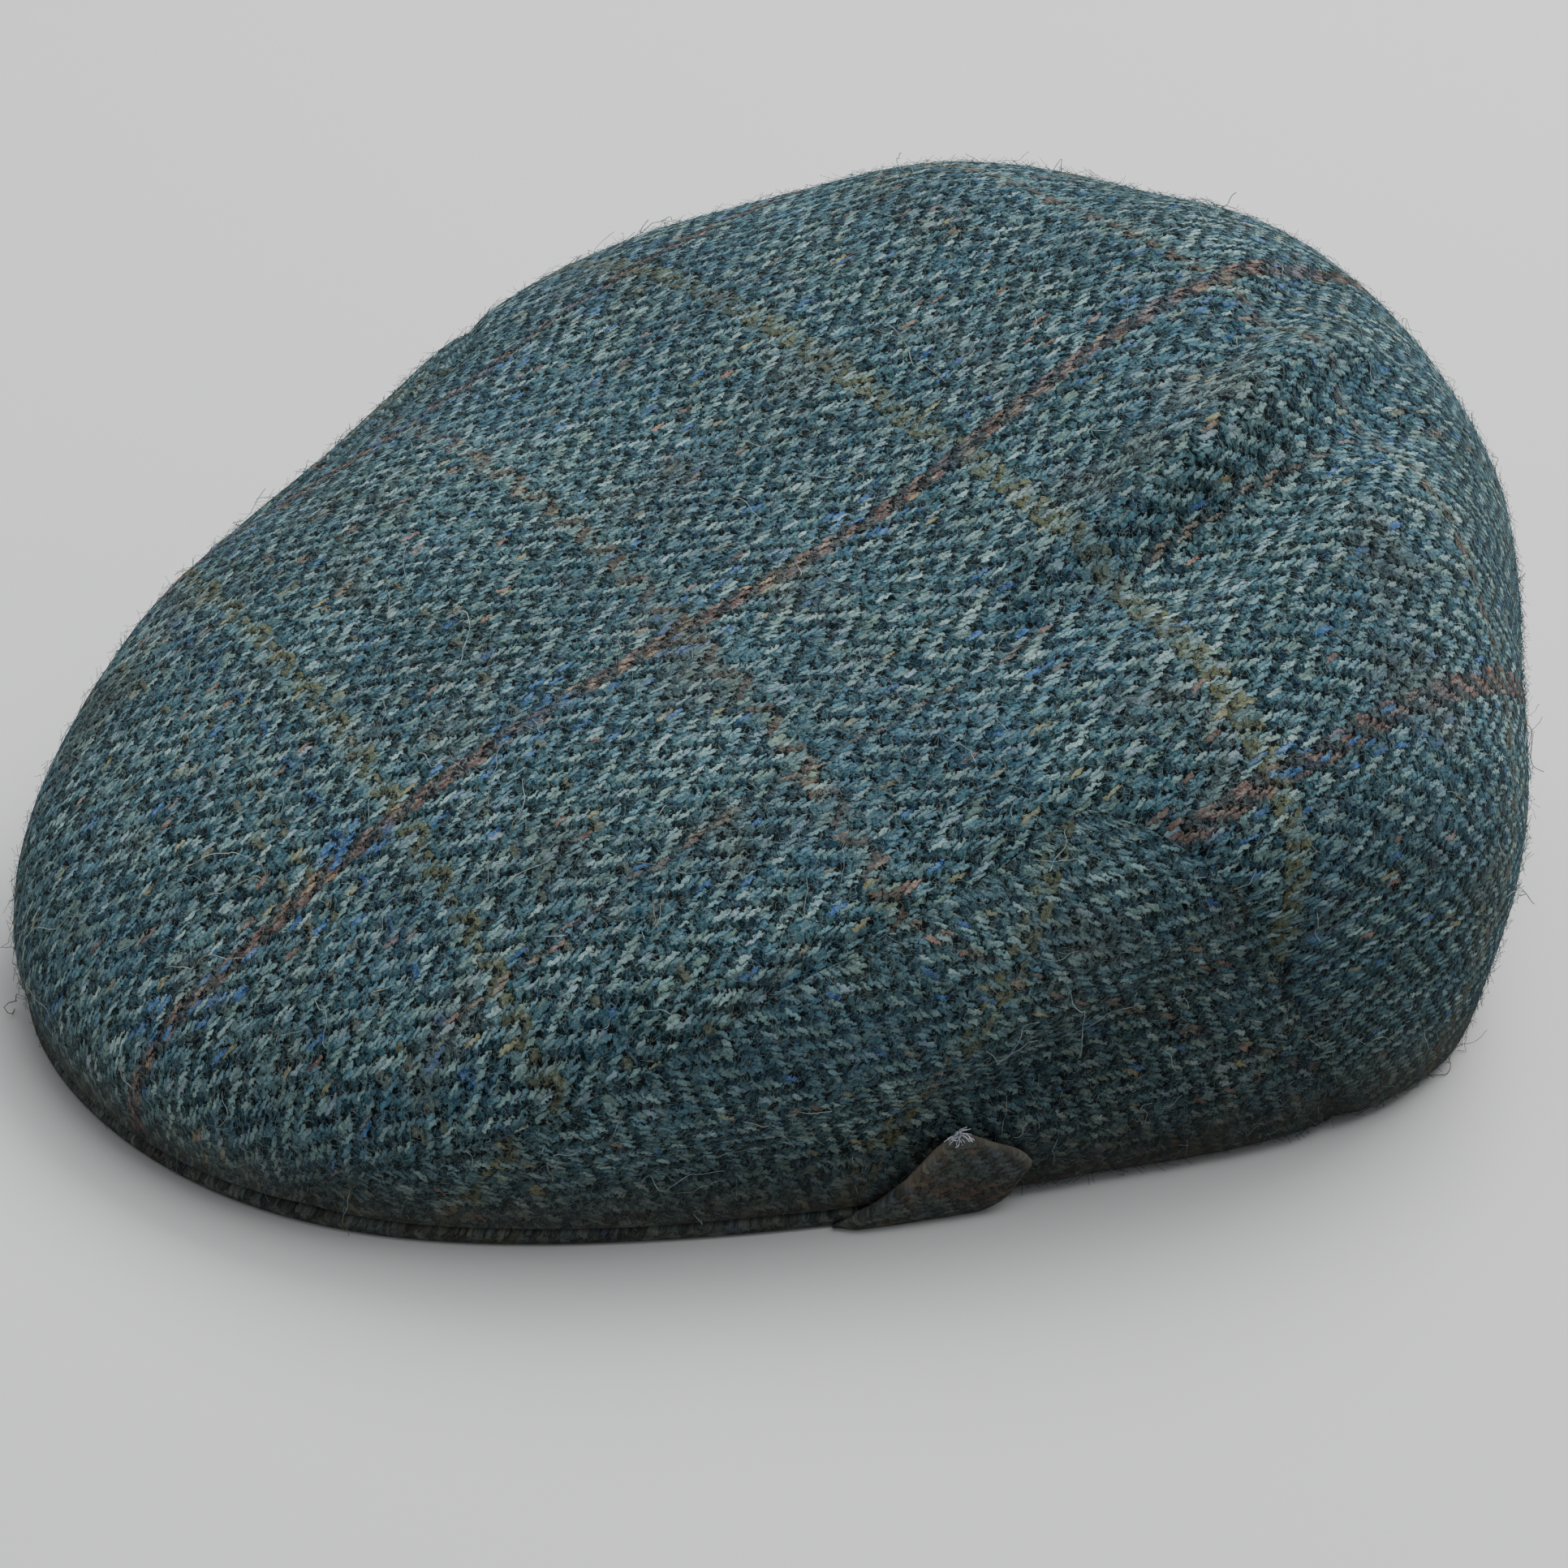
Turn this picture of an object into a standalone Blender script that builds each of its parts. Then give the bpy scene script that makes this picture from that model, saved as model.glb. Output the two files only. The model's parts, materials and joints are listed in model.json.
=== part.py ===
"""A woollen flat cap at rest on a table, built from its four sewn pieces.

The cap stands on its hem with +Z up. Its peak faces -Y, and the wearer's left is +X. The origin is
the middle of the base. All sizes are in metres.

The outer face of the cloth is one smooth form. On each bearing, counted in degrees from straight
ahead, a line runs down the cloth from the pole near the top, over the shoulder at the widest line,
down the skirt and round the turned hem. The top panel and the two side panels are regions of that
face, parted along the side seams. The peak is a curved board under the front edge.
"""

import math

import bmesh
import bpy
import numpy as np

# Overall sizes
LENGTH = 0.268
WIDTH = 0.2075
HEIGHT = 0.104

# Cloth and hem. The skirt leans in by TUCK, turns under on HEM_ROLL and ends in a flat lip.
CLOTH = 0.002
GAP = 0.0003
TUCK = 0.002
HEM_ROLL = 0.005
HEM_LIP = 0.008

# Side seams. SEAM_RISE is the highest corner's distance up the cloth from the floor line.
# SEAM_END is the least height of a side panel, and SEAM_STEP the length over which the top panel
# steps from the seam to its own hem.
SEAM_RISE = 0.0735
SEAM_END = 0.0018
SEAM_STEP = 0.0015
SEAM_CORNER_DEG = 80.5
SEAM_ROUNDING_DEG = 0.8

# Peak. PEAK_FLAT is the stretch behind its rim that lies on the table.
PEAK_BOARD = 0.0032
PEAK_DEPTH = 0.055
PEAK_TIP = 0.010
PEAK_FLAT = 0.005
PEAK_LIFT = 0.018
PEAK_REACH_DEG = 68.0
PEAK_ROUNDNESS = 1.5
PEAK_CURL = 1.25

# Where the turned hem starts behind the end of the peak
HEM_START_DEG = 69.5
HEM_FULL_DEG = 75.0

# Soft folds in the crown: the deepest drop and the spread to either side. Each fold keeps its depth
# over FOLD_FLAT of its length to either side of its middle, then fades over FOLD_FADE.
FOLD_DEPTH = 0.0045
FOLD_SPREAD = 0.007
FOLD_FLAT = 0.35
FOLD_FADE = 0.22

# Mesh fineness. Rows above SHOULDER_RISE run level round the crown, and those below follow the edges.
COLUMN_STEP_DEG = 6.0
SEAM_STEP_DEG = 4.5
FOLD_STEP_DEG = 3.6
FOLD_SPAN_DEG = (93.0, 152.0)
SHOULDER_RISE = 1.08 * SEAM_RISE
CROWN_ROWS = 15
SHOULDER_ROWS = 5
HEM_ROWS = 4
HEM_COLUMNS = 3
PEAK_ROWS = 5
EDGE_ROW = 0.0006
LEAST_BAND = 0.3
CROWN_POINTS = 160
SKIRT_POINTS = 12
ROLL_POINTS = 13
SHARP_DEG = 40.0

CLOTH_COLOUR = (0.058, 0.091, 0.102, 1.0)
PEAK_COLOUR = (0.050, 0.062, 0.064, 1.0)
CLOTH_ROUGHNESS = 0.95


def table(columns, rows):
    """A dictionary of columns, each an array down the rows."""
    return dict(zip(columns.split(), np.array(rows, float).T))


# The plan and the profile, a row for each bearing from the front round to the back.
# reach: plan distance from the pole to the widest line, along with LENGTH and across with WIDTH
# widest: height of the widest line, a share of HEIGHT
# fullness, shoulder: how long the crown stays up, and how tightly it turns over
# tuck: how far the skirt leans in below the widest line, a share of TUCK
RING = table(
    "bearing reach widest fullness shoulder tuck",
    (
        (0.0, 1.042, 0.122, 4.12, 2.18, 1.0),
        (22.5, 1.017, 0.152, 4.28, 2.20, 1.0),
        (45.0, 0.927, 0.308, 4.07, 2.14, 1.0),
        (67.5, 0.886, 0.380, 3.42, 1.88, 1.0),
        (90.0, 0.934, 0.502, 3.12, 1.90, 1.0),
        (112.5, 1.036, 0.354, 2.90, 1.72, 1.0),
        (135.0, 0.948, 0.217, 3.66, 2.23, 0.8),
        (157.5, 0.954, 0.198, 3.28, 2.37, 0.5),
        (180.0, 0.926, 0.189, 4.15, 2.43, 0.5),
    ),
)

# The line of the top seen from the side, before the shoulders turn it over.
# along: share of LENGTH from the front; height: share of HEIGHT
RIDGE = table(
    "along height",
    ((0.0, 0.370), (0.25, 0.578), (0.5, 0.743), (0.75, 1.007), (1.0, 1.007)),
)

# The side seam, from the peak up to its highest corner and down behind to the hem.
# rise: distance up the cloth from the floor line, a share of SEAM_RISE
SEAM = table(
    "bearing rise",
    (
        (22.0, 0.13),
        (28.0, 0.23),
        (36.0, 0.35),
        (45.0, 0.50),
        (55.0, 0.67),
        (64.0, 0.78),
        (72.0, 0.88),
        (SEAM_CORNER_DEG, 1.0),
        (85.0, 0.92),
        (89.0, 0.79),
        (92.0, 0.67),
        (95.0, 0.50),
        (98.5, 0.28),
        (101.5, 0.095),
        (104.0, -0.065),
    ),
)
SEAM_FRONT_DEG = SEAM["bearing"][0]
SEAM_BACK_DEG = SEAM["bearing"][-1]

# The folds, on the wearer's left. Starts and ends are shares of the half width and of LENGTH from
# the front. drop: share of FOLD_DEPTH, less than zero for a swelling; spread: share of FOLD_SPREAD
FOLDS = table(
    "x0 y0 x1 y1 drop spread",
    (
        (0.495, 0.585, 0.375, 0.815, 1.0, 1.0),
        (0.435, 0.585, 0.325, 0.790, -0.4, 0.9),
        (0.500, 0.560, 0.450, 0.490, 0.4, 1.3),
    ),
)


def smooth(rows, name, at, level_ends=True):
    """A cubic curve through one column of a table, read at one or many places."""
    x = rows[list(rows)[0]]
    y = rows[name]
    last = len(x) - 1
    step = np.diff(x)
    slope = np.diff(y) / step
    matrix = np.zeros((last + 1, last + 1))
    right = np.zeros(last + 1)
    for i in range(1, last):
        matrix[i, i - 1 : i + 2] = step[i - 1], 2 * (step[i - 1] + step[i]), step[i]
        right[i] = 6 * (slope[i] - slope[i - 1])
    matrix[0, 0] = matrix[last, last] = 1.0
    if level_ends:
        matrix[0, :2] = 2 * step[0], step[0]
        matrix[last, -2:] = step[-1], 2 * step[-1]
        right[0] = 6 * slope[0]
        right[last] = -6 * slope[-1]
    bend = np.linalg.solve(matrix, right)
    at = np.clip(np.asarray(at, float), x[0], x[-1])
    k = np.clip(np.searchsorted(x, at) - 1, 0, last - 1)
    before = x[k + 1] - at
    after = at - x[k]
    h = step[k]
    curve = (bend[k] * before**3 + bend[k + 1] * after**3) / (6 * h)
    return curve + (y[k] / h - bend[k] * h / 6) * before + (y[k + 1] / h - bend[k + 1] * h / 6) * after


def ring(name, bearing):
    return smooth(RING, name, np.abs(bearing))


# Scales that make the plan exactly LENGTH by WIDTH, with its middle at the origin
_turn = np.linspace(0.0, 180.0, 721)
_ahead = ring("reach", _turn) * np.cos(np.radians(_turn))
_aside = ring("reach", _turn) * np.sin(np.radians(_turn))
ALONG = LENGTH / (_ahead.max() - _ahead.min())
ACROSS = WIDTH / 2 / _aside.max()
POLE_Y = ALONG * _ahead.max() - LENGTH / 2


def plan(bearing):
    """The widest line in plan."""
    turn = np.radians(bearing)
    reach = ring("reach", bearing)
    return ACROSS * reach * np.sin(turn), POLE_Y - ALONG * reach * np.cos(turn)


def plan_step(bearing, turn=1.0):
    """The move along the widest line, in plan, for a turn about a bearing."""
    x0, y0 = plan(bearing - turn / 2)
    x1, y1 = plan(bearing + turn / 2)
    return x1 - x0, y1 - y0


def degrees_for(distance, bearing):
    """The turn that moves the widest line by a distance."""
    return distance / math.hypot(*plan_step(bearing))


def fold_drop(x, y):
    """How far the soft folds lower the crown at places in plan."""
    total = np.zeros_like(x)
    for x0, y0, x1, y1, drop, spread in zip(*FOLDS.values()):
        start = np.array([x0 * WIDTH / 2, (y0 - 0.5) * LENGTH])
        run = np.array([x1 * WIDTH / 2, (y1 - 0.5) * LENGTH]) - start
        length = np.hypot(*run)
        run = run / length
        along = ((x - start[0]) * run[0] + (y - start[1]) * run[1]) / length
        aside = ((x - start[0]) * run[1] - (y - start[1]) * run[0]) / (spread * FOLD_SPREAD)
        past = np.clip(np.abs(along - 0.5) - FOLD_FLAT, 0.0, None) / FOLD_FADE
        total += drop * FOLD_DEPTH * np.exp(-(aside**2) - past**2)
    return total


def crown_share(bearing, share):
    """Plan place and height, as a share of HEIGHT, from the pole at 0 to the widest line at 1."""
    rim_x, rim_y = plan(bearing)
    x = rim_x * share
    y = POLE_Y + (rim_y - POLE_Y) * share
    widest = ring("widest", bearing)
    roof = smooth(RIDGE, "height", y / LENGTH + 0.5, level_ends=False)
    held = np.clip(1.0 - share ** ring("fullness", bearing), 0.0, 1.0)
    return x, y, widest + (roof - widest) * held ** (1.0 / ring("shoulder", bearing))


# Shares from the pole outwards, crowded towards the shoulder where the crown turns over
CROWN_SHARES = 1.0 - np.linspace(1.0, 0.0, CROWN_POINTS) ** 2
HIGHEST = max(crown_share(bearing, CROWN_SHARES)[2].max() for bearing in range(-180, 180, 5))


def meridian(bearing):
    """Points down the outer face of the cloth on one bearing, and their rises above the floor line."""
    x, y, height = crown_share(bearing, CROWN_SHARES)
    crown = np.stack([x, y, height * HEIGHT / HIGHEST - fold_drop(x, y)], 1)
    rim_x, rim_y, rim_z = crown[-1]
    along_x, along_y = plan_step(bearing)
    outward = np.array([along_y, -along_x]) / math.hypot(along_x, along_y)

    fall = rim_z - HEM_ROLL
    tuck = ring("tuck", bearing) * TUCK
    down = np.linspace(0.0, 1.0, SKIRT_POINTS)[1:]
    turn = np.linspace(0.0, math.pi / 2, ROLL_POINTS)[1:]
    inward = np.concatenate(
        [
            tuck * (1.0 - np.cos(down * math.pi / 2)),
            tuck + HEM_ROLL * (1.0 - np.cos(turn)),
            [tuck + HEM_ROLL + HEM_LIP],
        ]
    )
    drop = np.concatenate([fall * down, fall + HEM_ROLL * np.sin(turn), [rim_z]])
    skirt = np.stack([rim_x - outward[0] * inward, rim_y - outward[1] * inward, rim_z - drop], 1)

    line = np.concatenate([crown, skirt])
    length = np.concatenate([[0.0], np.cumsum(np.linalg.norm(np.diff(line, axis=0), axis=1))])
    return line, length[-2] - length


def rise_at_height(height):
    """Distance up the cloth from the floor line to a height on the turn of the hem."""
    return HEM_ROLL * math.acos(max(0.0, 1.0 - height / HEM_ROLL)) + max(0.0, height - HEM_ROLL)


def point_at(line, rise, wanted):
    """The places on a meridian at the wanted rises."""
    return np.stack([np.interp(wanted, rise[::-1], line[::-1, k]) for k in range(3)], 1)


def seam_rise(bearing):
    """The side seam's rise above the floor line, with its corners softly rounded."""
    near = bearing + SEAM_ROUNDING_DEG * np.linspace(-1.0, 1.0, 5)
    return np.interp(near, SEAM["bearing"], SEAM["rise"]).mean() * SEAM_RISE


def seam_half_gap(bearing):
    """Half of the gap between the panels up the cloth, so that it is GAP measured square to the seam."""
    run = math.hypot(*plan_step(bearing))
    climb = max(abs(seam_rise(bearing + side) - seam_rise(bearing)) for side in (-1.0, 1.0))
    return GAP / 2 * math.hypot(1.0, climb / run)


def hem_rise(bearing):
    """Where the cloth ends: just above the peak in front, and at the lip of the turned hem behind it."""
    front = rise_at_height(PEAK_BOARD + GAP)
    behind = np.clip((abs(bearing) - HEM_START_DEG) / (HEM_FULL_DEG - HEM_START_DEG), 0.0, 1.0)
    return front - (front + HEM_LIP) * behind


def rows_down(high, low):
    """Rises of the rows from one edge of a panel down to the other, with the last rows round the hem."""
    least = (high - low) * LEAST_BAND
    bend = min(max(HEM_ROLL * math.pi / 2, low + least), high - least)
    upper = np.linspace(high, bend, SHOULDER_ROWS)
    lower = np.linspace(bend, low + EDGE_ROW, HEM_ROWS + 1)[1:]
    return np.concatenate([upper, lower, [low]])


def spaced(start, end, step, stops=()):
    """Bearings from start to end, about a step apart, with some bearings that must be there."""
    stops = sorted({start, end, *stops})
    found = [start]
    for low, high in zip(stops, stops[1:]):
        count = max(1, round((high - low) / step))
        found += [low + (high - low) * (i + 1) / count for i in range(count)]
    return found


def seam_columns():
    """Bearings along the side seam that the top panel and the side panel share, so that their edges match."""
    stops = [b for b in SEAM["bearing"][1:-1] if b >= SEAM_CORNER_DEG]
    stops += list(np.linspace(HEM_START_DEG, HEM_FULL_DEG, HEM_COLUMNS + 1))
    stops.append(SEAM_FRONT_DEG + degrees_for(2 * EDGE_ROW, SEAM_FRONT_DEG))
    stops.append(SEAM_BACK_DEG - degrees_for(2 * EDGE_ROW, SEAM_BACK_DEG))
    return spaced(SEAM_FRONT_DEG, SEAM_BACK_DEG, SEAM_STEP_DEG, stops)[1:-1]


def side_columns():
    """Bearings of the columns of one side panel, a gap short of the top panel at both ends."""
    front = SEAM_FRONT_DEG + degrees_for(GAP, SEAM_FRONT_DEG)
    back = SEAM_BACK_DEG - degrees_for(GAP, SEAM_BACK_DEG)
    return [front, *seam_columns(), back]


def top_columns():
    """Bearings of the columns of the top panel round one side, with its lower edge at each."""
    front = SEAM_FRONT_DEG - degrees_for(SEAM_STEP, SEAM_FRONT_DEG)
    back = SEAM_BACK_DEG + degrees_for(SEAM_STEP, SEAM_BACK_DEG)
    seam = [SEAM_FRONT_DEG, *seam_columns(), SEAM_BACK_DEG]
    behind = spaced(back, FOLD_SPAN_DEG[1], FOLD_STEP_DEG)
    behind += spaced(FOLD_SPAN_DEG[1], 180.0, COLUMN_STEP_DEG)[1:]
    found = [(b, hem_rise(b)) for b in spaced(0.0, front, COLUMN_STEP_DEG)]
    found += [(b, seam_rise(b) + seam_half_gap(b)) for b in seam]
    return found + [(b, hem_rise(b)) for b in behind]


def sheet(name, columns, closed, finish, collection):
    """An open sheet from columns of points, each running down the cloth, as one object."""
    bm = bmesh.new()
    grid = [[bm.verts.new(point) for point in column] for column in columns]
    for left, right in zip(grid, grid[1:] + grid[:1] if closed else grid[1:]):
        for row in range(len(left) - 1):
            bm.faces.new((left[row], left[row + 1], right[row + 1], right[row]))
    bmesh.ops.remove_doubles(bm, verts=bm.verts, dist=1e-6)
    mesh = bpy.data.meshes.new(name)
    bm.to_mesh(mesh)
    bm.free()
    mesh.shade_smooth()
    mesh.set_sharp_from_angle(angle=math.radians(SHARP_DEG))
    mesh.materials.append(finish)
    made = bpy.data.objects.new(name, mesh)
    collection.objects.link(made)
    return made


def thicken(piece, wall):
    """Gives a sheet its wall, on the side away from its outer face."""
    solid = piece.modifiers.new("wall", "SOLIDIFY")
    solid.thickness = wall
    solid.offset = -1.0


def top_panel(finish, collection):
    """The large panel that runs from the front edge over the crown and down the back."""
    left = top_columns()
    right = [(-b, low) for b, low in left[-2:0:-1]]
    columns = []
    for bearing, low in right + left:
        line, rise = meridian(bearing)
        crown = np.linspace(rise[0], SHOULDER_RISE, CROWN_ROWS + 1)[:-1]
        columns.append(point_at(line, rise, np.append(crown, rows_down(SHOULDER_RISE, low))))
    thicken(sheet("top_panel", columns, True, finish, collection), CLOTH)


def side_panel(name, side, finish, collection):
    """The low panel between the side seam and the hem, with side 1 on +X and -1 on -X."""
    columns = []
    for bearing in side_columns():
        line, rise = meridian(side * bearing)
        high = seam_rise(bearing) - seam_half_gap(bearing)
        low = min(hem_rise(bearing), high - SEAM_END)
        columns.append(point_at(line, rise, np.append(high, rows_down(high - EDGE_ROW, low))))
    thicken(sheet(name, columns[::side], False, finish, collection), CLOTH)


def peak(finish, collection):
    """The board under the front edge: flat along its rim, then rising and narrowing to its ends."""
    columns = []
    for bearing in spaced(0.0, PEAK_REACH_DEG, COLUMN_STEP_DEG):
        line, rise = meridian(bearing)
        rim_x, rim_y, _ = point_at(line, rise, [rise_at_height(PEAK_BOARD)])[0]
        inward = np.array([-rim_x, POLE_Y - rim_y]) / math.hypot(rim_x, POLE_Y - rim_y)
        middle = math.cos(bearing / PEAK_REACH_DEG * math.pi / 2)
        depth = PEAK_TIP + (PEAK_DEPTH - PEAK_TIP) * middle**PEAK_ROUNDNESS
        column = []
        for reach in [0.0, *np.linspace(PEAK_FLAT, depth, PEAK_ROWS)]:
            climb = max(0.0, reach - PEAK_FLAT) / (PEAK_DEPTH - PEAK_FLAT)
            x, y = rim_x + inward[0] * reach, rim_y + inward[1] * reach
            column.append((x, y, PEAK_LIFT * middle * climb**PEAK_CURL))
        columns.append(column)
    board = sheet("peak", columns, False, finish, collection)
    mirror = board.modifiers.new("other side", "MIRROR")
    mirror.merge_threshold = 0.0001
    thicken(board, PEAK_BOARD)


def material(name, colour):
    made = bpy.data.materials.new(name)
    made.use_nodes = True
    shader = made.node_tree.nodes["Principled BSDF"]
    shader.inputs["Base Color"].default_value = colour
    shader.inputs["Roughness"].default_value = CLOTH_ROUGHNESS
    shader.inputs["Metallic"].default_value = 0.0
    made.diffuse_color = colour
    return made


def main():
    for thing in list(bpy.data.objects):
        bpy.data.objects.remove(thing, do_unlink=True)
    collection = bpy.data.collections.new("flat_cap")
    bpy.context.scene.collection.children.link(collection)
    top_panel(material("top_tweed", CLOTH_COLOUR), collection)
    side_panel("side_panel_left", 1, material("left_tweed", CLOTH_COLOUR), collection)
    side_panel("side_panel_right", -1, material("right_tweed", CLOTH_COLOUR), collection)
    peak(material("peak_tweed", PEAK_COLOUR), collection)


main()
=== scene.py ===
# %% [markdown]
# # A woollen flat cap in herringbone tweed
#
# The cap is four sewn pieces: one large top panel, two low side panels and a stiff peak under the
# front edge. The construction already exists as plain solids, which this lesson loads as a fixed
# frame. Here each piece is made again as a finely meshed piece of cloth in the same place, and
# dressed in a tweed whose yarns, overcheck and stray fibres are all worked out by nodes.

import json
import math

import bmesh
import bpy
import numpy as np
from mathutils import Matrix, Vector, noise

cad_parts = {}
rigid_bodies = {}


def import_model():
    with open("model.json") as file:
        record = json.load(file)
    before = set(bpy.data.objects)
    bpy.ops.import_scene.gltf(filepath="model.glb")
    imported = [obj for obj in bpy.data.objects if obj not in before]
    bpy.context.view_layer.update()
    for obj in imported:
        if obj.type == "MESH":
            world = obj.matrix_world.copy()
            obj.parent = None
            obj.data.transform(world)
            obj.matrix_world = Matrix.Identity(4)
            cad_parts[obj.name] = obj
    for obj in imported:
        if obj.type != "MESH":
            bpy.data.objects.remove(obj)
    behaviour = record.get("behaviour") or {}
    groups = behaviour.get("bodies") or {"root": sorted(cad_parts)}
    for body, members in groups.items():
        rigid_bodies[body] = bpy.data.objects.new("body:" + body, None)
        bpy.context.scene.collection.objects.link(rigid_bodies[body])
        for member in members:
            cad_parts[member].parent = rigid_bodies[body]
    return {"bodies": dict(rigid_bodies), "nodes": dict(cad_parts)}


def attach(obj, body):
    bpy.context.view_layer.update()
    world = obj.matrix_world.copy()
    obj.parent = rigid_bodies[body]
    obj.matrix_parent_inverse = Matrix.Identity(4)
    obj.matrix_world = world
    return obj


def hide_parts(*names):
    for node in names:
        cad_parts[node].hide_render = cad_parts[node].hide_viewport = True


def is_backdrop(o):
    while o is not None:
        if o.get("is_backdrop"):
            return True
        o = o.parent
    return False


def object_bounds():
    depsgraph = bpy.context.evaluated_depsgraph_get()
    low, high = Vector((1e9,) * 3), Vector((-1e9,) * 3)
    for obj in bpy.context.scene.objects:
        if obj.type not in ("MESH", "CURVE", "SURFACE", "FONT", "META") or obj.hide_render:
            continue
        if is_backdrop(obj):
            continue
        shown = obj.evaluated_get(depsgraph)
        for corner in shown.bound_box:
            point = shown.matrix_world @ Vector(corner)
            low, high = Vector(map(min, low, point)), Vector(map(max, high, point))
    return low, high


for thing in list(bpy.data.objects):
    bpy.data.objects.remove(thing, do_unlink=True)

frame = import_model()
cad_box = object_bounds()
BODY = next(iter(frame["bodies"]))
lowest, highest = cad_box
WIDTH, LENGTH, HEIGHT = highest - lowest
print(f"cap {LENGTH * 1000:.1f} x {WIDTH * 1000:.1f} x {HEIGHT * 1000:.1f} mm, pieces {sorted(frame['nodes'])}")

# %% [markdown]
# ## The camera
#
# A photograph of a small thing on a table is taken from about a metre with a long lens, looking down
# at a third of a right angle. The camera's place is given as a bearing, an elevation and a distance,
# which is how one would say it aloud, and its axes are worked out from them. A slight roll tips the
# table, as a hand-held picture does.

# %% The camera
BEARING_SEEN = math.radians(47.59)
ELEVATION_SEEN = math.radians(31.86)
ROLL = math.radians(-7.14)
DISTANCE = 0.981
LENS = 137.9
LOOK_ASIDE = 0.0033
LOOK_AT = Vector((0.0, -0.0030, 0.0218))


def camera_axes(bearing, elevation, roll):
    """The camera's right, up and backward directions."""
    right = Vector((math.cos(bearing), math.sin(bearing), 0.0))
    back = Vector((math.sin(bearing), -math.cos(bearing), 0.0)) * math.cos(elevation)
    back.z = math.sin(elevation)
    up = back.cross(right)
    level = right.copy()
    right = level * math.cos(roll) - up * math.sin(roll)
    up = level * math.sin(roll) + up * math.cos(roll)
    return level, right, up, back


def added(name, data, place=Matrix()):
    """A new object in the scene."""
    made = bpy.data.objects.new(name, data)
    made.matrix_world = place
    bpy.context.scene.collection.objects.link(made)
    return made


def facing(spot, *axes):
    """The matrix of a thing that stands on a spot, with its own three axes along those given."""
    return Matrix.Translation(spot) @ Matrix(axes).transposed().to_4x4()


level, right, up, back = camera_axes(BEARING_SEEN, ELEVATION_SEEN, ROLL)
target = LOOK_AT + level * LOOK_ASIDE
camera = added("camera", bpy.data.cameras.new("camera"), facing(target + back * DISTANCE, right, up, back))
camera.data.lens = LENS
bpy.context.scene.camera = camera
print("camera at", [round(x, 3) for x in camera.location])

# %% [markdown]
# ## The form of the cap
#
# A soft cap has no straight lines, yet its form follows a simple rule. From a pole near the top, a
# line runs down the cloth on every bearing: out over the crown, round the shoulder to the widest
# line, down the skirt and under the hem. A short table says how that line changes from the front of
# the cap round to its back, and a smooth curve through each column fills in the rest. The panels
# are regions of this one surface, so their edges always meet.

# %% Tables of the form
HEM_ROLL = 0.005
HEM_LIP = 0.008
TUCK = 0.002
CLOTH = 0.002
GAP = 0.0003


def table(columns, rows):
    """A dictionary of columns, each an array down the rows."""
    return dict(zip(columns.split(), np.array(rows, float).T))


# reach: plan distance from the pole; widest: height of the widest line as a share of HEIGHT;
# fullness, shoulder: how long the crown stays up and how tightly it turns over; tuck: share of TUCK
RING = table(
    "bearing reach widest fullness shoulder tuck",
    (
        (0.0, 1.042, 0.122, 4.12, 2.18, 1.0),
        (22.5, 1.017, 0.152, 4.28, 2.20, 1.0),
        (45.0, 0.927, 0.308, 4.07, 2.14, 1.0),
        (67.5, 0.886, 0.380, 3.42, 1.88, 1.0),
        (90.0, 0.934, 0.502, 3.12, 1.90, 1.0),
        (112.5, 1.036, 0.354, 2.90, 1.72, 1.0),
        (135.0, 0.948, 0.217, 3.66, 2.23, 0.8),
        (157.5, 0.954, 0.198, 3.28, 2.37, 0.5),
        (180.0, 0.926, 0.189, 4.15, 2.43, 0.5),
    ),
)

# The line of the top seen from the side. along: share of LENGTH; height: share of HEIGHT
RIDGE = table(
    "along height",
    ((0.0, 0.370), (0.25, 0.578), (0.5, 0.743), (0.75, 1.007), (1.0, 1.007)),
)

# The side seam, from the peak up to its highest corner and down to the hem. rise: share of SEAM_RISE
SEAM_RISE = 0.0735
SEAM_CORNER_DEG = 80.5
SEAM = table(
    "bearing rise",
    (
        (22.0, 0.13),
        (28.0, 0.23),
        (36.0, 0.35),
        (45.0, 0.50),
        (55.0, 0.67),
        (64.0, 0.78),
        (72.0, 0.88),
        (SEAM_CORNER_DEG, 1.0),
        (85.0, 0.92),
        (89.0, 0.79),
        (92.0, 0.67),
        (95.0, 0.50),
        (98.5, 0.28),
        (101.5, 0.095),
        (104.0, -0.065),
    ),
)

# Soft folds of the crown. Places are shares of the half width and of the length, with x on the
# wearer's left. drop, spread: shares of FOLD_DEPTH, less than zero for a ridge, and of FOLD_SPREAD
FOLD_DEPTH = 0.0040
FOLD_SPREAD = 0.0100
FOLD_FLAT = 0.35
FOLD_FADE = 0.22
FOLDS = table(
    "x0 y0 x1 y1 drop spread",
    (
        (0.550, 0.585, 0.430, 0.815, 1.0, 1.0),
        (0.425, 0.585, 0.310, 0.790, -0.4, 0.6),
        (0.500, 0.560, 0.450, 0.490, 0.3, 1.0),
    ),
)
print(f"{len(RING['bearing'])} bearings in the ring, {len(SEAM['bearing'])} points on the side seam")

# %% [markdown]
# ## A smooth curve through a table
#
# A spline is the draughtsman's thin strip of wood: it passes through every point and bends as
# little as it can between them. The few lines below solve for its bending at each point. At both
# ends the curve can be held level, which is what a ring needs where its left half meets its right.

# %% A smooth curve through a table


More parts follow.
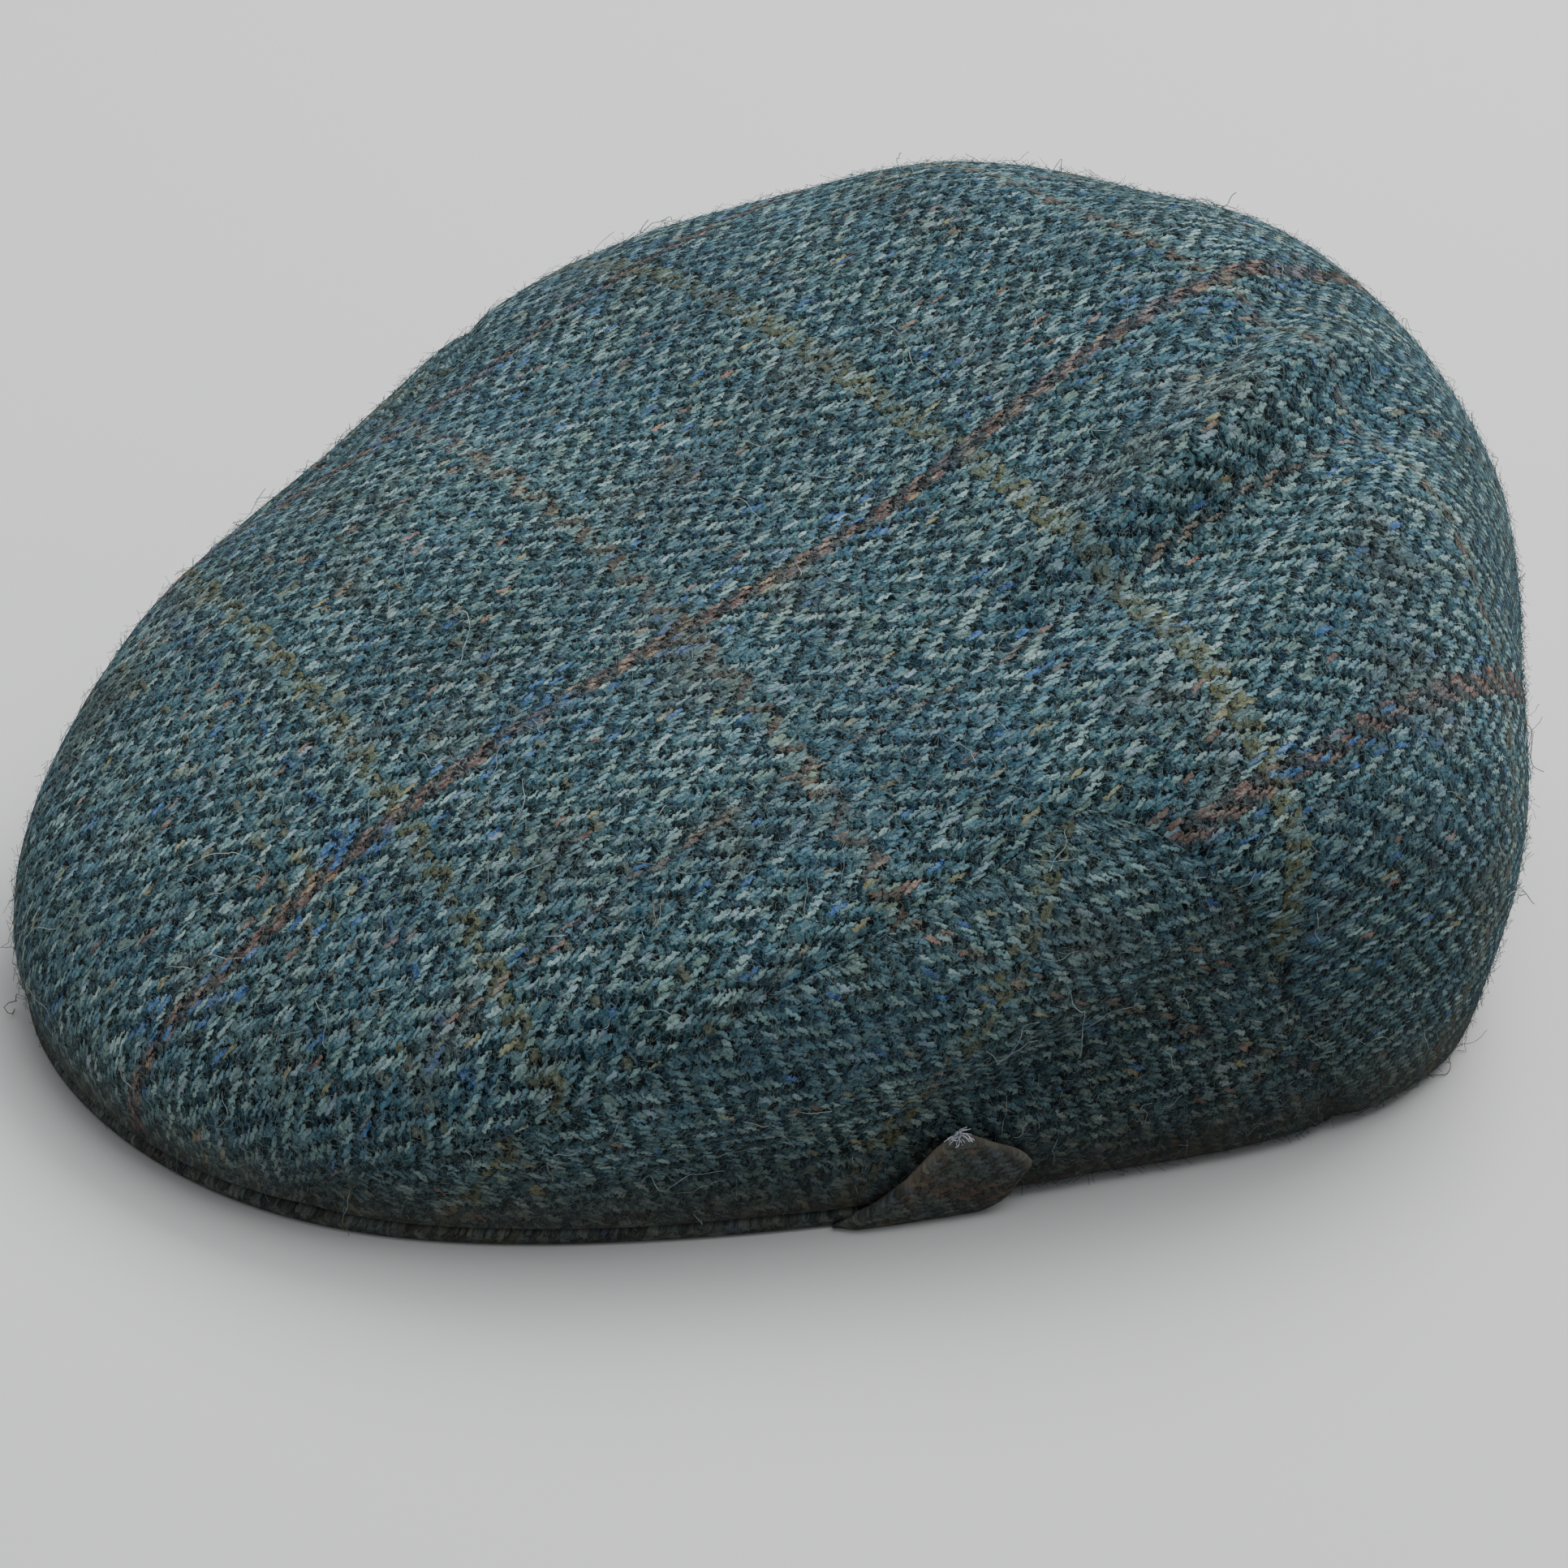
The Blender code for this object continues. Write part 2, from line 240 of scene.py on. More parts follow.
def smooth(rows, name, at, level_ends=True):
    """A cubic curve through one column of a table, read at one or many places."""
    x = rows[list(rows)[0]]
    y = rows[name]
    last = len(x) - 1
    step = np.diff(x)
    slope = np.diff(y) / step
    matrix = np.zeros((last + 1, last + 1))
    wanted = np.zeros(last + 1)
    for i in range(1, last):
        matrix[i, i - 1 : i + 2] = step[i - 1], 2 * (step[i - 1] + step[i]), step[i]
        wanted[i] = 6 * (slope[i] - slope[i - 1])
    matrix[0, 0] = matrix[last, last] = 1.0
    if level_ends:
        matrix[0, :2] = 2 * step[0], step[0]
        matrix[last, -2:] = step[-1], 2 * step[-1]
        wanted[0] = 6 * slope[0]
        wanted[last] = -6 * slope[-1]
    bend = np.linalg.solve(matrix, wanted)
    at = np.clip(np.asarray(at, float), x[0], x[-1])
    k = np.clip(np.searchsorted(x, at) - 1, 0, last - 1)
    before = x[k + 1] - at
    after = at - x[k]
    h = step[k]
    curve = (bend[k] * before**3 + bend[k + 1] * after**3) / (6 * h)
    return curve + (y[k] / h - bend[k] * h / 6) * before + (y[k + 1] / h - bend[k + 1] * h / 6) * after


def ring(name, bearing):
    return smooth(RING, name, np.abs(bearing))


turn = np.linspace(0.0, 180.0, 721)
ahead = ring("reach", turn) * np.cos(np.radians(turn))
aside = ring("reach", turn) * np.sin(np.radians(turn))
ALONG = LENGTH / (ahead.max() - ahead.min())
ACROSS = WIDTH / 2 / aside.max()
POLE_Y = ALONG * ahead.max() - LENGTH / 2
print(f"pole {POLE_Y * 1000:.1f} mm behind the middle")

# %% [markdown]
# ## One line down the cloth
#
# The cap is drawn as a tailor would chalk it: by lines on the cloth. First come the widest line as
# seen from above and a few ways to measure along a line.

# %% One line down the cloth


def plan(bearing):
    """The widest line in plan."""
    reach = ring("reach", bearing)
    angle = np.radians(bearing)
    return ACROSS * reach * np.sin(angle), POLE_Y - ALONG * reach * np.cos(angle)


def plan_step(bearing, span=1.0):
    """The move along the widest line, in plan, for a turn about a bearing."""
    x0, y0 = plan(bearing - span / 2)
    x1, y1 = plan(bearing + span / 2)
    return x1 - x0, y1 - y0


def degrees_for(distance, bearing):
    return distance / math.hypot(*plan_step(bearing))


def running_total(steps):
    """The distance from the start after each step, with 0 before the first."""
    return np.concatenate([[0.0], np.cumsum(steps)])


def run_along(line):
    """How far each point of a line is from its first one, measured along the line."""
    return running_total(np.linalg.norm(np.diff(line, axis=0), axis=1))


def plan_line(x0, y0, x1, y1):
    """The start and the run of a line in plan, from shares of the half width and of the length."""
    start, end = (np.array([x * WIDTH / 2, (y - 0.5) * LENGTH]) for x, y in ((x0, y0), (x1, y1)))
    return start, end - start


print(f"one degree at the side is {math.hypot(*plan_step(90.0)) * 1000:.1f} mm of the widest line")

# %% [markdown]
# ## Over the crown and down the skirt
#
# `meridian` gives the points of one line down the cloth and, for each, its distance up the cloth from
# the floor. That distance is worth keeping: a tailor measures along cloth and never through the air,
# and the seams, the hem and the weave below are all laid out with it.

# %% Over the crown and down the skirt
CROWN_POINTS = 220
SKIRT_POINTS = 18
ROLL_POINTS = 19


def fold_drop(x, y):
    """How far the soft folds lower the crown at places in plan."""
    total = np.zeros_like(x)
    for *ends, drop, spread in zip(*FOLDS.values()):
        start, run = plan_line(*ends)
        length = np.hypot(*run)
        run = run / length
        along = ((x - start[0]) * run[0] + (y - start[1]) * run[1]) / length
        across = ((x - start[0]) * run[1] - (y - start[1]) * run[0]) / (spread * FOLD_SPREAD)
        past = np.clip(np.abs(along - 0.5) - FOLD_FLAT, 0.0, None) / FOLD_FADE
        total += drop * FOLD_DEPTH * np.exp(-(across**2) - past**2)
    return total


def crown_share(bearing, share):
    """Plan place and height, as a share of HEIGHT, from the pole at 0 to the widest line at 1."""
    rim_x, rim_y = plan(bearing)
    x = rim_x * share
    y = POLE_Y + (rim_y - POLE_Y) * share
    widest = ring("widest", bearing)
    roof = smooth(RIDGE, "height", y / LENGTH + 0.5, level_ends=False)
    held = np.clip(1.0 - share ** ring("fullness", bearing), 0.0, 1.0)
    return x, y, widest + (roof - widest) * held ** (1.0 / ring("shoulder", bearing))


CROWN_SHARES = 1.0 - np.linspace(1.0, 0.0, CROWN_POINTS) ** 2
HIGHEST = max(crown_share(bearing, CROWN_SHARES)[2].max() for bearing in range(-180, 180, 5))


def meridian(bearing):
    """Points down the outer face on one bearing, and their distances up the cloth from the floor line."""
    x, y, height = crown_share(bearing, CROWN_SHARES)
    crown = np.stack([x, y, height * HEIGHT / HIGHEST - fold_drop(x, y)], 1)
    rim_x, rim_y, rim_z = crown[-1]
    along_x, along_y = plan_step(bearing)
    outward = np.array([along_y, -along_x]) / math.hypot(along_x, along_y)
    fall = rim_z - HEM_ROLL
    tuck = ring("tuck", bearing) * TUCK
    down = np.linspace(0.0, 1.0, SKIRT_POINTS)[1:]
    round_hem = np.linspace(0.0, math.pi / 2, ROLL_POINTS)[1:]
    inward = np.concatenate(
        [
            tuck * (1.0 - np.cos(down * math.pi / 2)),
            tuck + HEM_ROLL * (1.0 - np.cos(round_hem)),
            [tuck + HEM_ROLL + HEM_LIP],
        ]
    )
    drop = np.concatenate([fall * down, fall + HEM_ROLL * np.sin(round_hem), [rim_z]])
    skirt = np.stack([rim_x - outward[0] * inward, rim_y - outward[1] * inward, rim_z - drop], 1)
    line = np.concatenate([crown, skirt])
    length = run_along(line)
    return line, length[-2] - length


def point_at(line, rise, wanted):
    return np.stack([np.interp(wanted, rise[::-1], line[::-1, k]) for k in range(3)], 1)


for bearing in (0, 90, 180):
    print(f"bearing {bearing}: {meridian(bearing)[1][0] * 1000:.0f} mm of cloth from the pole to the floor")

# %% [markdown]
# ## The edges of the panels
#
# The side seam climbs from the peak to a corner above the ear and drops behind it to the hem. The
# cloth ends just above the peak in front and turns under everywhere else. Both edges are given as
# distances up the cloth, so a panel is no more than the cloth between two such numbers.

# %% The edges of the panels
PEAK_BOARD = 0.0032
HEM_START_DEG = 69.5
HEM_FULL_DEG = 75.0
SEAM_ROUNDING_DEG = 0.8
SEAM_END = 0.0018
POINT_END = 0.0003
SEAM_STEP = 0.0015
SEAM_FRONT_DEG = SEAM["bearing"][0]
SEAM_BACK_DEG = SEAM["bearing"][-1]
TIP_FRONT_DEG = SEAM_FRONT_DEG - degrees_for(SEAM_STEP, SEAM_FRONT_DEG)
TIP_BACK_DEG = SEAM_BACK_DEG + degrees_for(SEAM_STEP, SEAM_BACK_DEG)


def seam_rise(bearing):
    near = bearing + SEAM_ROUNDING_DEG * np.linspace(-1.0, 1.0, 5)
    return np.interp(near, SEAM["bearing"], SEAM["rise"]).mean() * SEAM_RISE


def rise_at_height(height):
    return HEM_ROLL * math.acos(max(0.0, 1.0 - height / HEM_ROLL)) + max(0.0, height - HEM_ROLL)


def hem_rise(bearing):
    front = rise_at_height(PEAK_BOARD + GAP)
    behind = np.clip((abs(bearing) - HEM_START_DEG) / (HEM_FULL_DEG - HEM_START_DEG), 0.0, 1.0)
    return front - (front + HEM_LIP) * behind * behind * (3.0 - 2.0 * behind)


seam_length = sum(math.hypot(*plan_step(b + 0.5)) for b in range(int(SEAM_FRONT_DEG), int(SEAM_BACK_DEG)))
print(f"side seam runs {seam_length * 1000:.0f} mm round each side")

# %% [markdown]
# ## Rows and columns
#
# A panel is meshed as a grid of quads. Columns run down the cloth and crowd together where a seam
# turns. Rows stay level over the crown and then follow the panel's edge, with the last few close
# together, because that is where cloth bends most: into the seam or round the hem.

# %% Rows and columns
COLUMN_STEP_DEG = 1.8
SEAM_STEP_DEG = 0.9
SHOULDER_RISE = 1.08 * SEAM_RISE
CROWN_ROWS = 54
SHOULDER_ROWS = 24
HEM_ROWS = 10
EDGE_ROWS = 6
EDGE_BAND = 0.0032
LEAST_BAND = 0.3
CROWDING = 1.5


def rows_down(high, low):
    """Distances up the cloth of the rows from one edge of a panel down to the other."""
    least = (high - low) * LEAST_BAND
    bend = min(max(HEM_ROLL * math.pi / 2, low + least), high - least)
    band = min(EDGE_BAND, (bend - low) / 2)
    upper = np.linspace(high, bend, SHOULDER_ROWS)[:-1]
    lower = np.linspace(bend, low + band, HEM_ROWS)[:-1]
    return np.concatenate([upper, lower, low + band * np.linspace(1.0, 0.0, EDGE_ROWS) ** CROWDING])


def spaced(start, end, step, stops=()):
    """Bearings from start to end, about a step apart, with some that must be there."""
    stops = sorted({start, end, *stops})
    found = [start]
    for low, high in zip(stops, stops[1:]):
        count = max(1, round((high - low) / step))
        found += [low + (high - low) * (i + 1) / count for i in range(count)]
    return found


def seam_columns():
    """Bearings along the seam, which the panels on both sides of it share."""
    behind_corner = SEAM["bearing"][SEAM["bearing"] >= SEAM_CORNER_DEG]
    return spaced(SEAM_FRONT_DEG, SEAM_BACK_DEG, SEAM_STEP_DEG, behind_corner)


def top_columns():
    """Bearings round the top panel's left half, each with the panel's lower edge there."""
    found = [(b, hem_rise(b)) for b in spaced(0.0, TIP_FRONT_DEG, COLUMN_STEP_DEG)]
    found += [(b, seam_rise(b)) for b in seam_columns()]
    return found + [(b, hem_rise(b)) for b in spaced(TIP_BACK_DEG, 180.0, COLUMN_STEP_DEG)]


def side_columns():
    """The same for a side panel, with its upper and lower edge. It starts and ends in a point."""
    found = [(b, seam_rise(b), min(hem_rise(b), seam_rise(b) - SEAM_END)) for b in seam_columns()]
    first, last = ((b, hem_rise(b) + POINT_END, hem_rise(b)) for b in (TIP_FRONT_DEG, TIP_BACK_DEG))
    return [first, *found, last]


print(f"{2 * len(top_columns()) - 2} columns round the top panel, {len(side_columns())} on a side panel")

# %% [markdown]
# ## Where the yarns run
#
# Cloth is flat when it is cut, and its yarns run straight. To lay the weave on the cap, every point
# needs its place on the flat cloth. For the top panel that place is the distance from the pole along
# the cloth, on the bearing that the point has: a map that is true along every line from the pole.
# The real panel was pulled a little askew as it was sewn, which one more term repeats. A side panel
# is cut at an angle, so its map is the distance round the cap and up the cloth, turned.

# %% Where the yarns run
SKEW = 1.76
SKEW_FROM = 0.010
SKEW_REACH = 0.09
SIDE_TURN = math.radians(27.7)


def top_cloth(x, y, from_pole):
    """Places on the flat cloth of points on the top panel: across the warp, and along it."""
    angle = np.arctan2(x, POLE_Y - y)
    across = from_pole * np.sin(angle)
    along = -from_pole * np.cos(angle)
    return across, along + SKEW * np.clip(across, -SKEW_REACH, SKEW_REACH) * (SKEW_FROM - along)


def side_cloth(round_cap, rise):
    """Places on the flat cloth of points on a side panel, from the distance round the cap."""
    along = round_cap * math.cos(SIDE_TURN) - rise * math.sin(SIDE_TURN)
    across = round_cap * math.sin(SIDE_TURN) + rise * math.cos(SIDE_TURN)
    return across, along


def distances_round(bearings):
    """Distance round the widest line from the seam's corner to each bearing."""
    fine = np.arange(0.0, 181.0)
    step = [math.hypot(*plan_step(b + 0.5)) for b in fine[:-1]]
    length = running_total(step)
    return np.interp(bearings, fine, length) - np.interp(SEAM_CORNER_DEG, fine, length)


print(f"the side panel reaches {distances_round(SEAM_FRONT_DEG) * -1000:.0f} mm ahead of its corner")

# %% [markdown]
# ## From numbers to cloth
#
# Each panel starts as an open sheet. Every point keeps its place on the flat cloth in a UV map in
# metres, so a yarn is as thick on the cap as it is on the loom.

# %% From numbers to cloth
SEAM_LINE_STEP_DEG = 0.25
POINTS_AT_ONCE = 4000


def lay_cloth(mesh, places):
    """Stores each point's place on the flat cloth as the mesh's UV map."""
    at = np.empty(len(mesh.loops), np.int32)
    mesh.loops.foreach_get("vertex_index", at)
    mesh.uv_layers.new(name="cloth").data.foreach_set("uv", places[at].astype(np.float32).ravel())


def sheet(name, columns, places, closed):
    """An open sheet from columns of points running down the cloth, with each point's flat place."""
    rows = len(columns[0])
    count = len(columns)
    faces = []
    for left in range(count if closed else count - 1):
        across = (left + 1) % count
        for row in range(rows - 1):
            a, b = left * rows + row, across * rows + row
            faces.append((a, a + 1, b + 1, b))
    mesh = bpy.data.meshes.new(name)
    mesh.from_pydata(np.array(columns).reshape(-1, 3).tolist(), [], faces)
    lay_cloth(mesh, np.array(places).reshape(-1, 2))
    bm = bmesh.new()
    bm.from_mesh(mesh)
    bmesh.ops.remove_doubles(bm, verts=bm.verts, dist=1e-6)
    bm.to_mesh(mesh)
    bm.free()
    mesh.shade_smooth()
    return added(name, mesh)


def seam_line():
    """Points on the side seam on both sides of the cap, and their distance along it."""
    found = []
    for side in (1, -1):
        for b in np.arange(SEAM_FRONT_DEG, SEAM_BACK_DEG + 0.01, SEAM_LINE_STEP_DEG):
            line, rise = meridian(side * b)
            found.append(point_at(line, rise, [seam_rise(b)])[0])
    return np.array(found), run_along(found)


SEAM_POINTS, SEAM_ALONG = seam_line()


def near_seam(points):
    """Each point's distance to the nearest seam, and how far along that seam it is."""
    gap = np.empty(len(points))
    along = np.empty(len(points))
    for start in range(0, len(points), POINTS_AT_ONCE):
        some = slice(start, start + POINTS_AT_ONCE)
        distance = np.linalg.norm(points[some, None] - SEAM_POINTS[None], axis=2)
        gap[some] = distance.min(1)
        along[some] = SEAM_ALONG[distance.argmin(1)]
    return gap, along


print(f"seams measured at {len(SEAM_POINTS)} points")

# %% [markdown]
# ## Seams, creases and the side fold
#
# Before the sheet gets its thickness it is moved a little along its own normals: down into the
# groove beside each seam, in small puckers where the stitches draw it, in the slow unevenness that
# any pressed cloth keeps and in the creases that wearing has left. Round the side runs one more fold:
# over it the cloth rounds out, and under it the cloth tucks in, lies in shadow and is darkened with
# painted shade.

# %% Seams, creases and the side fold
GROOVE_DEPTH = 0.0008
GROOVE_WIDTH = 0.0026
PUCKER_DEPTH = 0.00035
PUCKER_WIDTH = 0.0055
PUCKER_PITCH = 0.0075

# The size and the height of each slow wave in the cloth
WAVES = ((0.050, 0.00060), (0.019, 0.00032), (0.008, 0.00012))

# Places are shares of the half width and of the length, with x on the wearer's left.
# sink: depth in metres, less than zero for a ridge; spread: how wide
CREASES = table(
    "x0 y0 x1 y1 sink spread",
    (
        (0.490, 0.450, 0.520, 0.580, 0.0010, 0.0070),
        (0.520, 0.580, 0.515, 0.690, 0.0013, 0.0072),
        (0.515, 0.690, 0.430, 0.800, 0.0013, 0.0065),
        (0.400, 0.543, 0.412, 0.660, -0.0014, 0.0045),
        (0.412, 0.660, 0.316, 0.811, -0.0020, 0.0045),
        (0.289, 0.705, 0.141, 0.845, 0.0012, 0.0040),
        (0.214, 0.699, 0.102, 0.796, -0.0008, 0.0045),
        (0.328, 0.108, 0.113, 0.074, 0.0010, 0.0090),
    ),
)

# height: of the fold over the table, in metres; marked: how strongly it shows; shade: height at
# which painted shade begins to darken the cloth; soiled: how dark the painted shade makes
# the cloth below the fold
SIDE_FOLD = table(
    "bearing height marked shade soiled",
    (
        (0.0, 0.008, 0.1, 0.008, 0.0),
        (31.0, 0.013, 0.3, 0.014, 0.0),
        (45.0, 0.021, 0.8, 0.021, 0.1),
        (56.0, 0.023, 1.0, 0.024, 0.3),
        (66.0, 0.027, 1.0, 0.032, 0.5),
        (76.0, 0.034, 1.0, 0.047, 0.6),
        (83.0, 0.042, 0.8, 0.055, 0.6),
        (91.0, 0.048, 0.2, 0.062, 0.6),
        (99.0, 0.040, 0.0, 0.064, 0.5),
        (110.0, 0.026, 0.0, 0.058, 0.4),
        (130.0, 0.016, 0.0, 0.040, 0.3),
        (180.0, 0.012, 0.0, 0.020, 0.3),
    ),
)
print(f"{len(CREASES['sink'])} creases, and a side fold given on {len(SIDE_FOLD['bearing'])} bearings")

# %% [markdown]
# ## Moving and marking the cloth
#
# One function adds up all that moves a point along its normal. Three values then go with each point
# for the material: how near it is to a seam, how much painted shade it takes low on the side, and
# how near it is to the hem. The seam's groove and the hem also get painted shade. A mesh attribute
# carries such a value to the shader.

# %% Moving and marking the cloth
FOLD_BULGE = 0.0013
FOLD_TUCK = 0.0022
FOLD_WIDTH = 0.0080
BULGE_OVER = 0.4
TUCK_UNDER = 1.1
FLAT_FOOT = 0.012
LOW_EDGE = 0.0035
SHADE_EDGE = 0.0045
SHADE_SHARE = 0.24
HEM_SHADE = 0.0120


def bell(away, width=1.0):
    """1 on a line, falling smoothly to 0 away from it."""
    return np.exp(-((away / width) ** 2))


def below(over, edge):
    """1 well below a line and 0 well above it."""
    return 1.0 / (1.0 + np.exp(over / edge))


def creased(points):
    """How far the creases that wearing has left lower each point."""
    total = np.zeros(len(points))
    for *ends, sink, spread in zip(*CREASES.values()):
        start, run = plan_line(*ends)
        share = np.clip((points[:, :2] - start) @ run / (run @ run), 0.0, 1.0)
        away = np.linalg.norm(points[:, :2] - start - share[:, None] * run, axis=1)
        total += sink * bell(away, spread)
    return total


def at_fold(points):
    """Each point's height over the side fold and over the line where painted shade begins to darken
    the cloth, and how marked the fold and how dark the painted shade below it are on its bearing."""
    bearing = np.degrees(np.arctan2(np.abs(points[:, 0]) / ACROSS, (POLE_Y - points[:, 1]) / ALONG))
    found = {name: np.interp(bearing, SIDE_FOLD["bearing"], column) for name, column in SIDE_FOLD.items()}
    over, over_shade = (points[:, 2] - found[name] for name in ("height", "shade"))
    return over, over_shade, found["marked"], found["soiled"]


def relief(points):
    """How far each point is moved along its normal, and how deep in a seam's groove it lies."""
    gap, along = near_seam(points)
    groove = bell(gap, GROOVE_WIDTH)
    draw = np.array([noise.noise((a / PUCKER_PITCH, 0.0, 0.0)) for a in along])
    moved = PUCKER_DEPTH * draw * bell(gap, PUCKER_WIDTH) - GROOVE_DEPTH * groove
    for size, height in WAVES:
        moved += height * np.array([noise.noise(Vector(p / size)) for p in points])
    over, _, marked, _ = at_fold(points)
    over /= FOLD_WIDTH
    steep = marked * np.clip(points[:, 2] / FLAT_FOOT, 0.0, 1.0)
    moved += steep * (FOLD_BULGE * bell(over - BULGE_OVER) - FOLD_TUCK * bell(over + TUCK_UNDER))
    return moved - creased(points), groove


def points_of(mesh):
    values = np.empty(len(mesh.vertices) * 3, np.float32)
    mesh.vertices.foreach_get("co", values)
    return values.reshape(-1, 3).astype(float)


def mark(mesh, **marks):
    """Stores values for the material on a mesh's points."""
    for label, values in marks.items():
        layer = mesh.attributes.new(label, "FLOAT", "POINT")
        layer.data.foreach_set("value", np.broadcast_to(np.float32(values), len(mesh.vertices)).copy())


def press(piece):
    """Moves a sheet's points by the relief and marks them for the material."""
    mesh = piece.data
    points = points_of(mesh)
    normals = np.array([v.vector for v in mesh.vertex_normals], float)
    moved, groove = relief(points)
    points += normals * moved[:, None]
    points[:, 2] = np.maximum(points[:, 2], 0.0)
    mesh.vertices.foreach_set("co", points.astype(np.float32).ravel())
    over, over_shade, _, soiled = at_fold(points)
    # painted shade: darker below the side fold and, less, below the line where shade begins
    lit = (1.0 - soiled * below(over, LOW_EDGE)) * (1.0 - SHADE_SHARE * below(over_shade, SHADE_EDGE))
    # seam and hem: nearness to a seam's groove and to the table, for painted shade there and matting
    mark(mesh, seam=groove, low=1.0 - lit, hem=bell(points[:, 2], HEM_SHADE))
    mesh.update()
    return piece


print(f"the side fold stands out {FOLD_BULGE * 1000:.1f} mm and tucks in {FOLD_TUCK * 1000:.1f} mm")

# %% [markdown]
# ## The top panel and the side panels
#
# With the helpers in place a panel is a short loop: one column of points for each bearing. The top
# panel closes on itself round the pole. The two side panels are mirror images.

# %% The top panel and the side panels


def top_sheet():
    left = top_columns()
    right = [(-b, low) for b, low in left[-2:0:-1]]
    columns, places = [], []
    for bearing, low in right + left:
        line, rise = meridian(bearing)
        crown = np.linspace(rise[0], SHOULDER_RISE, CROWN_ROWS + 1)[:-1]
        wanted = np.append(crown, rows_down(SHOULDER_RISE, low))
        column = point_at(line, rise, wanted)
        columns.append(column)
        rim = point_at(line, rise, [SHOULDER_RISE])[0]
        places.append(np.stack(top_cloth(rim[0], rim[1], rise[0] - wanted), 1))
    return sheet("top_cloth", columns, places, closed=True)


def side_sheet(name, side):
    rows = side_columns()
    columns, places = [], []
    for (bearing, high, low), round_cap in zip(rows, distances_round([b for b, _, _ in rows])):
        line, rise = meridian(side * bearing)
        edge = min(EDGE_BAND, (high - low) / 3)
        first = high - edge * np.linspace(0.0, 1.0, EDGE_ROWS)[:-1] ** CROWDING
        wanted = np.append(first, rows_down(high - edge, low))
        columns.append(point_at(line, rise, wanted))
        places.append(np.stack(side_cloth(round_cap, wanted - SEAM_RISE), 1))
    return sheet(name, columns[::side], places[::side], closed=False)


top = press(top_sheet())
left_side = press(side_sheet("left_side_cloth", 1))
right_side = press(side_sheet("right_side_cloth", -1))
for piece in (top, left_side, right_side):
    print(f"{piece.name}: {len(piece.data.polygons)} quads")

# %% [markdown]
# ## The peak
#
# The peak is a stiff crescent covered in the same cloth, lying under the front edge. Its rim is a
# soft roll, because the cloth is pulled round the edge of the board. It is swept as a closed section
# from one end to the other: flat near the rim, then rising towards the forehead. At each end the
# cover comes to a small ear that laps up over the side of the cap.

# %% The peak
PEAK_DEPTH = 0.055
PEAK_TIP = 0.010
PEAK_FLAT = 0.005
PEAK_LIFT = 0.018
PEAK_REACH_DEG = 68.0
PEAK_ROUNDNESS = 1.5
PEAK_CURL = 1.25
RIM_POINTS = 9
BOARD_POINTS = 14


def peak_section(bearing):
    """The closed outline of the peak on one bearing, as points in order round it."""
    line, rise = meridian(bearing)
    rim_x, rim_y, _ = point_at(line, rise, [rise_at_height(PEAK_BOARD)])[0]
    inward = np.array([-rim_x, POLE_Y - rim_y]) / math.hypot(rim_x, POLE_Y - rim_y)
    middle = math.cos(bearing / PEAK_REACH_DEG * math.pi / 2)
    depth = PEAK_TIP + (PEAK_DEPTH - PEAK_TIP) * max(middle, 0.0) ** PEAK_ROUNDNESS
    half = PEAK_BOARD / 2
    reach = np.linspace(half, depth - half, BOARD_POINTS)
    climb = np.clip(reach - PEAK_FLAT, 0.0, None) / (PEAK_DEPTH - PEAK_FLAT)
    floor = PEAK_LIFT * middle * climb**PEAK_CURL
    swing = np.linspace(-math.pi / 2, math.pi / 2, RIM_POINTS + 2)[1:-1]
    outline = [(r, z) for r, z in zip(reach[::-1], floor[::-1])]
    outline += [(half - half * math.cos(s), half + half * math.sin(s)) for s in swing]
    outline += [(r, z + PEAK_BOARD) for r, z in zip(reach, floor)]
    inner, upper = depth - half, floor[-1] + half
    outline += [(inner + half * math.cos(s), upper + half * math.sin(s)) for s in swing[::-1]]
    return [(rim_x + inward[0] * r, rim_y + inward[1] * r, z) for r, z in outline]


def smooth_mesh(name, bm):
    """A smooth mesh from a bmesh, which is then freed."""
    mesh = bpy.data.meshes.new(name)
    bm.to_mesh(mesh)
    bm.free()
    mesh.shade_smooth()
    return mesh


def swept(name, sections):
    """A closed body from outlines with equal numbers of points, capped at both ends."""
    bm = bmesh.new()
    loops = [[bm.verts.new(point) for point in section] for section in sections]
    for one, other in zip(loops, loops[1:]):
        for k in range(len(one)):
            bm.faces.new((one[k - 1], one[k], other[k], other[k - 1]))
    bm.faces.new(loops[0][::-1])
    bm.faces.new(loops[-1])
    bmesh.ops.recalc_face_normals(bm, faces=bm.faces)
    bmesh.ops.triangulate(bm, faces=[f for f in bm.faces if len(f.verts) > 4])
    return added(name, smooth_mesh(name, bm))


peak_columns = spaced(-PEAK_REACH_DEG, PEAK_REACH_DEG, COLUMN_STEP_DEG)
peak_board = swept("peak_cover", [peak_section(b) for b in peak_columns])
print(f"peak: {len(peak_board.data.polygons)} faces, {PEAK_DEPTH * 1000:.0f} mm deep in the middle")
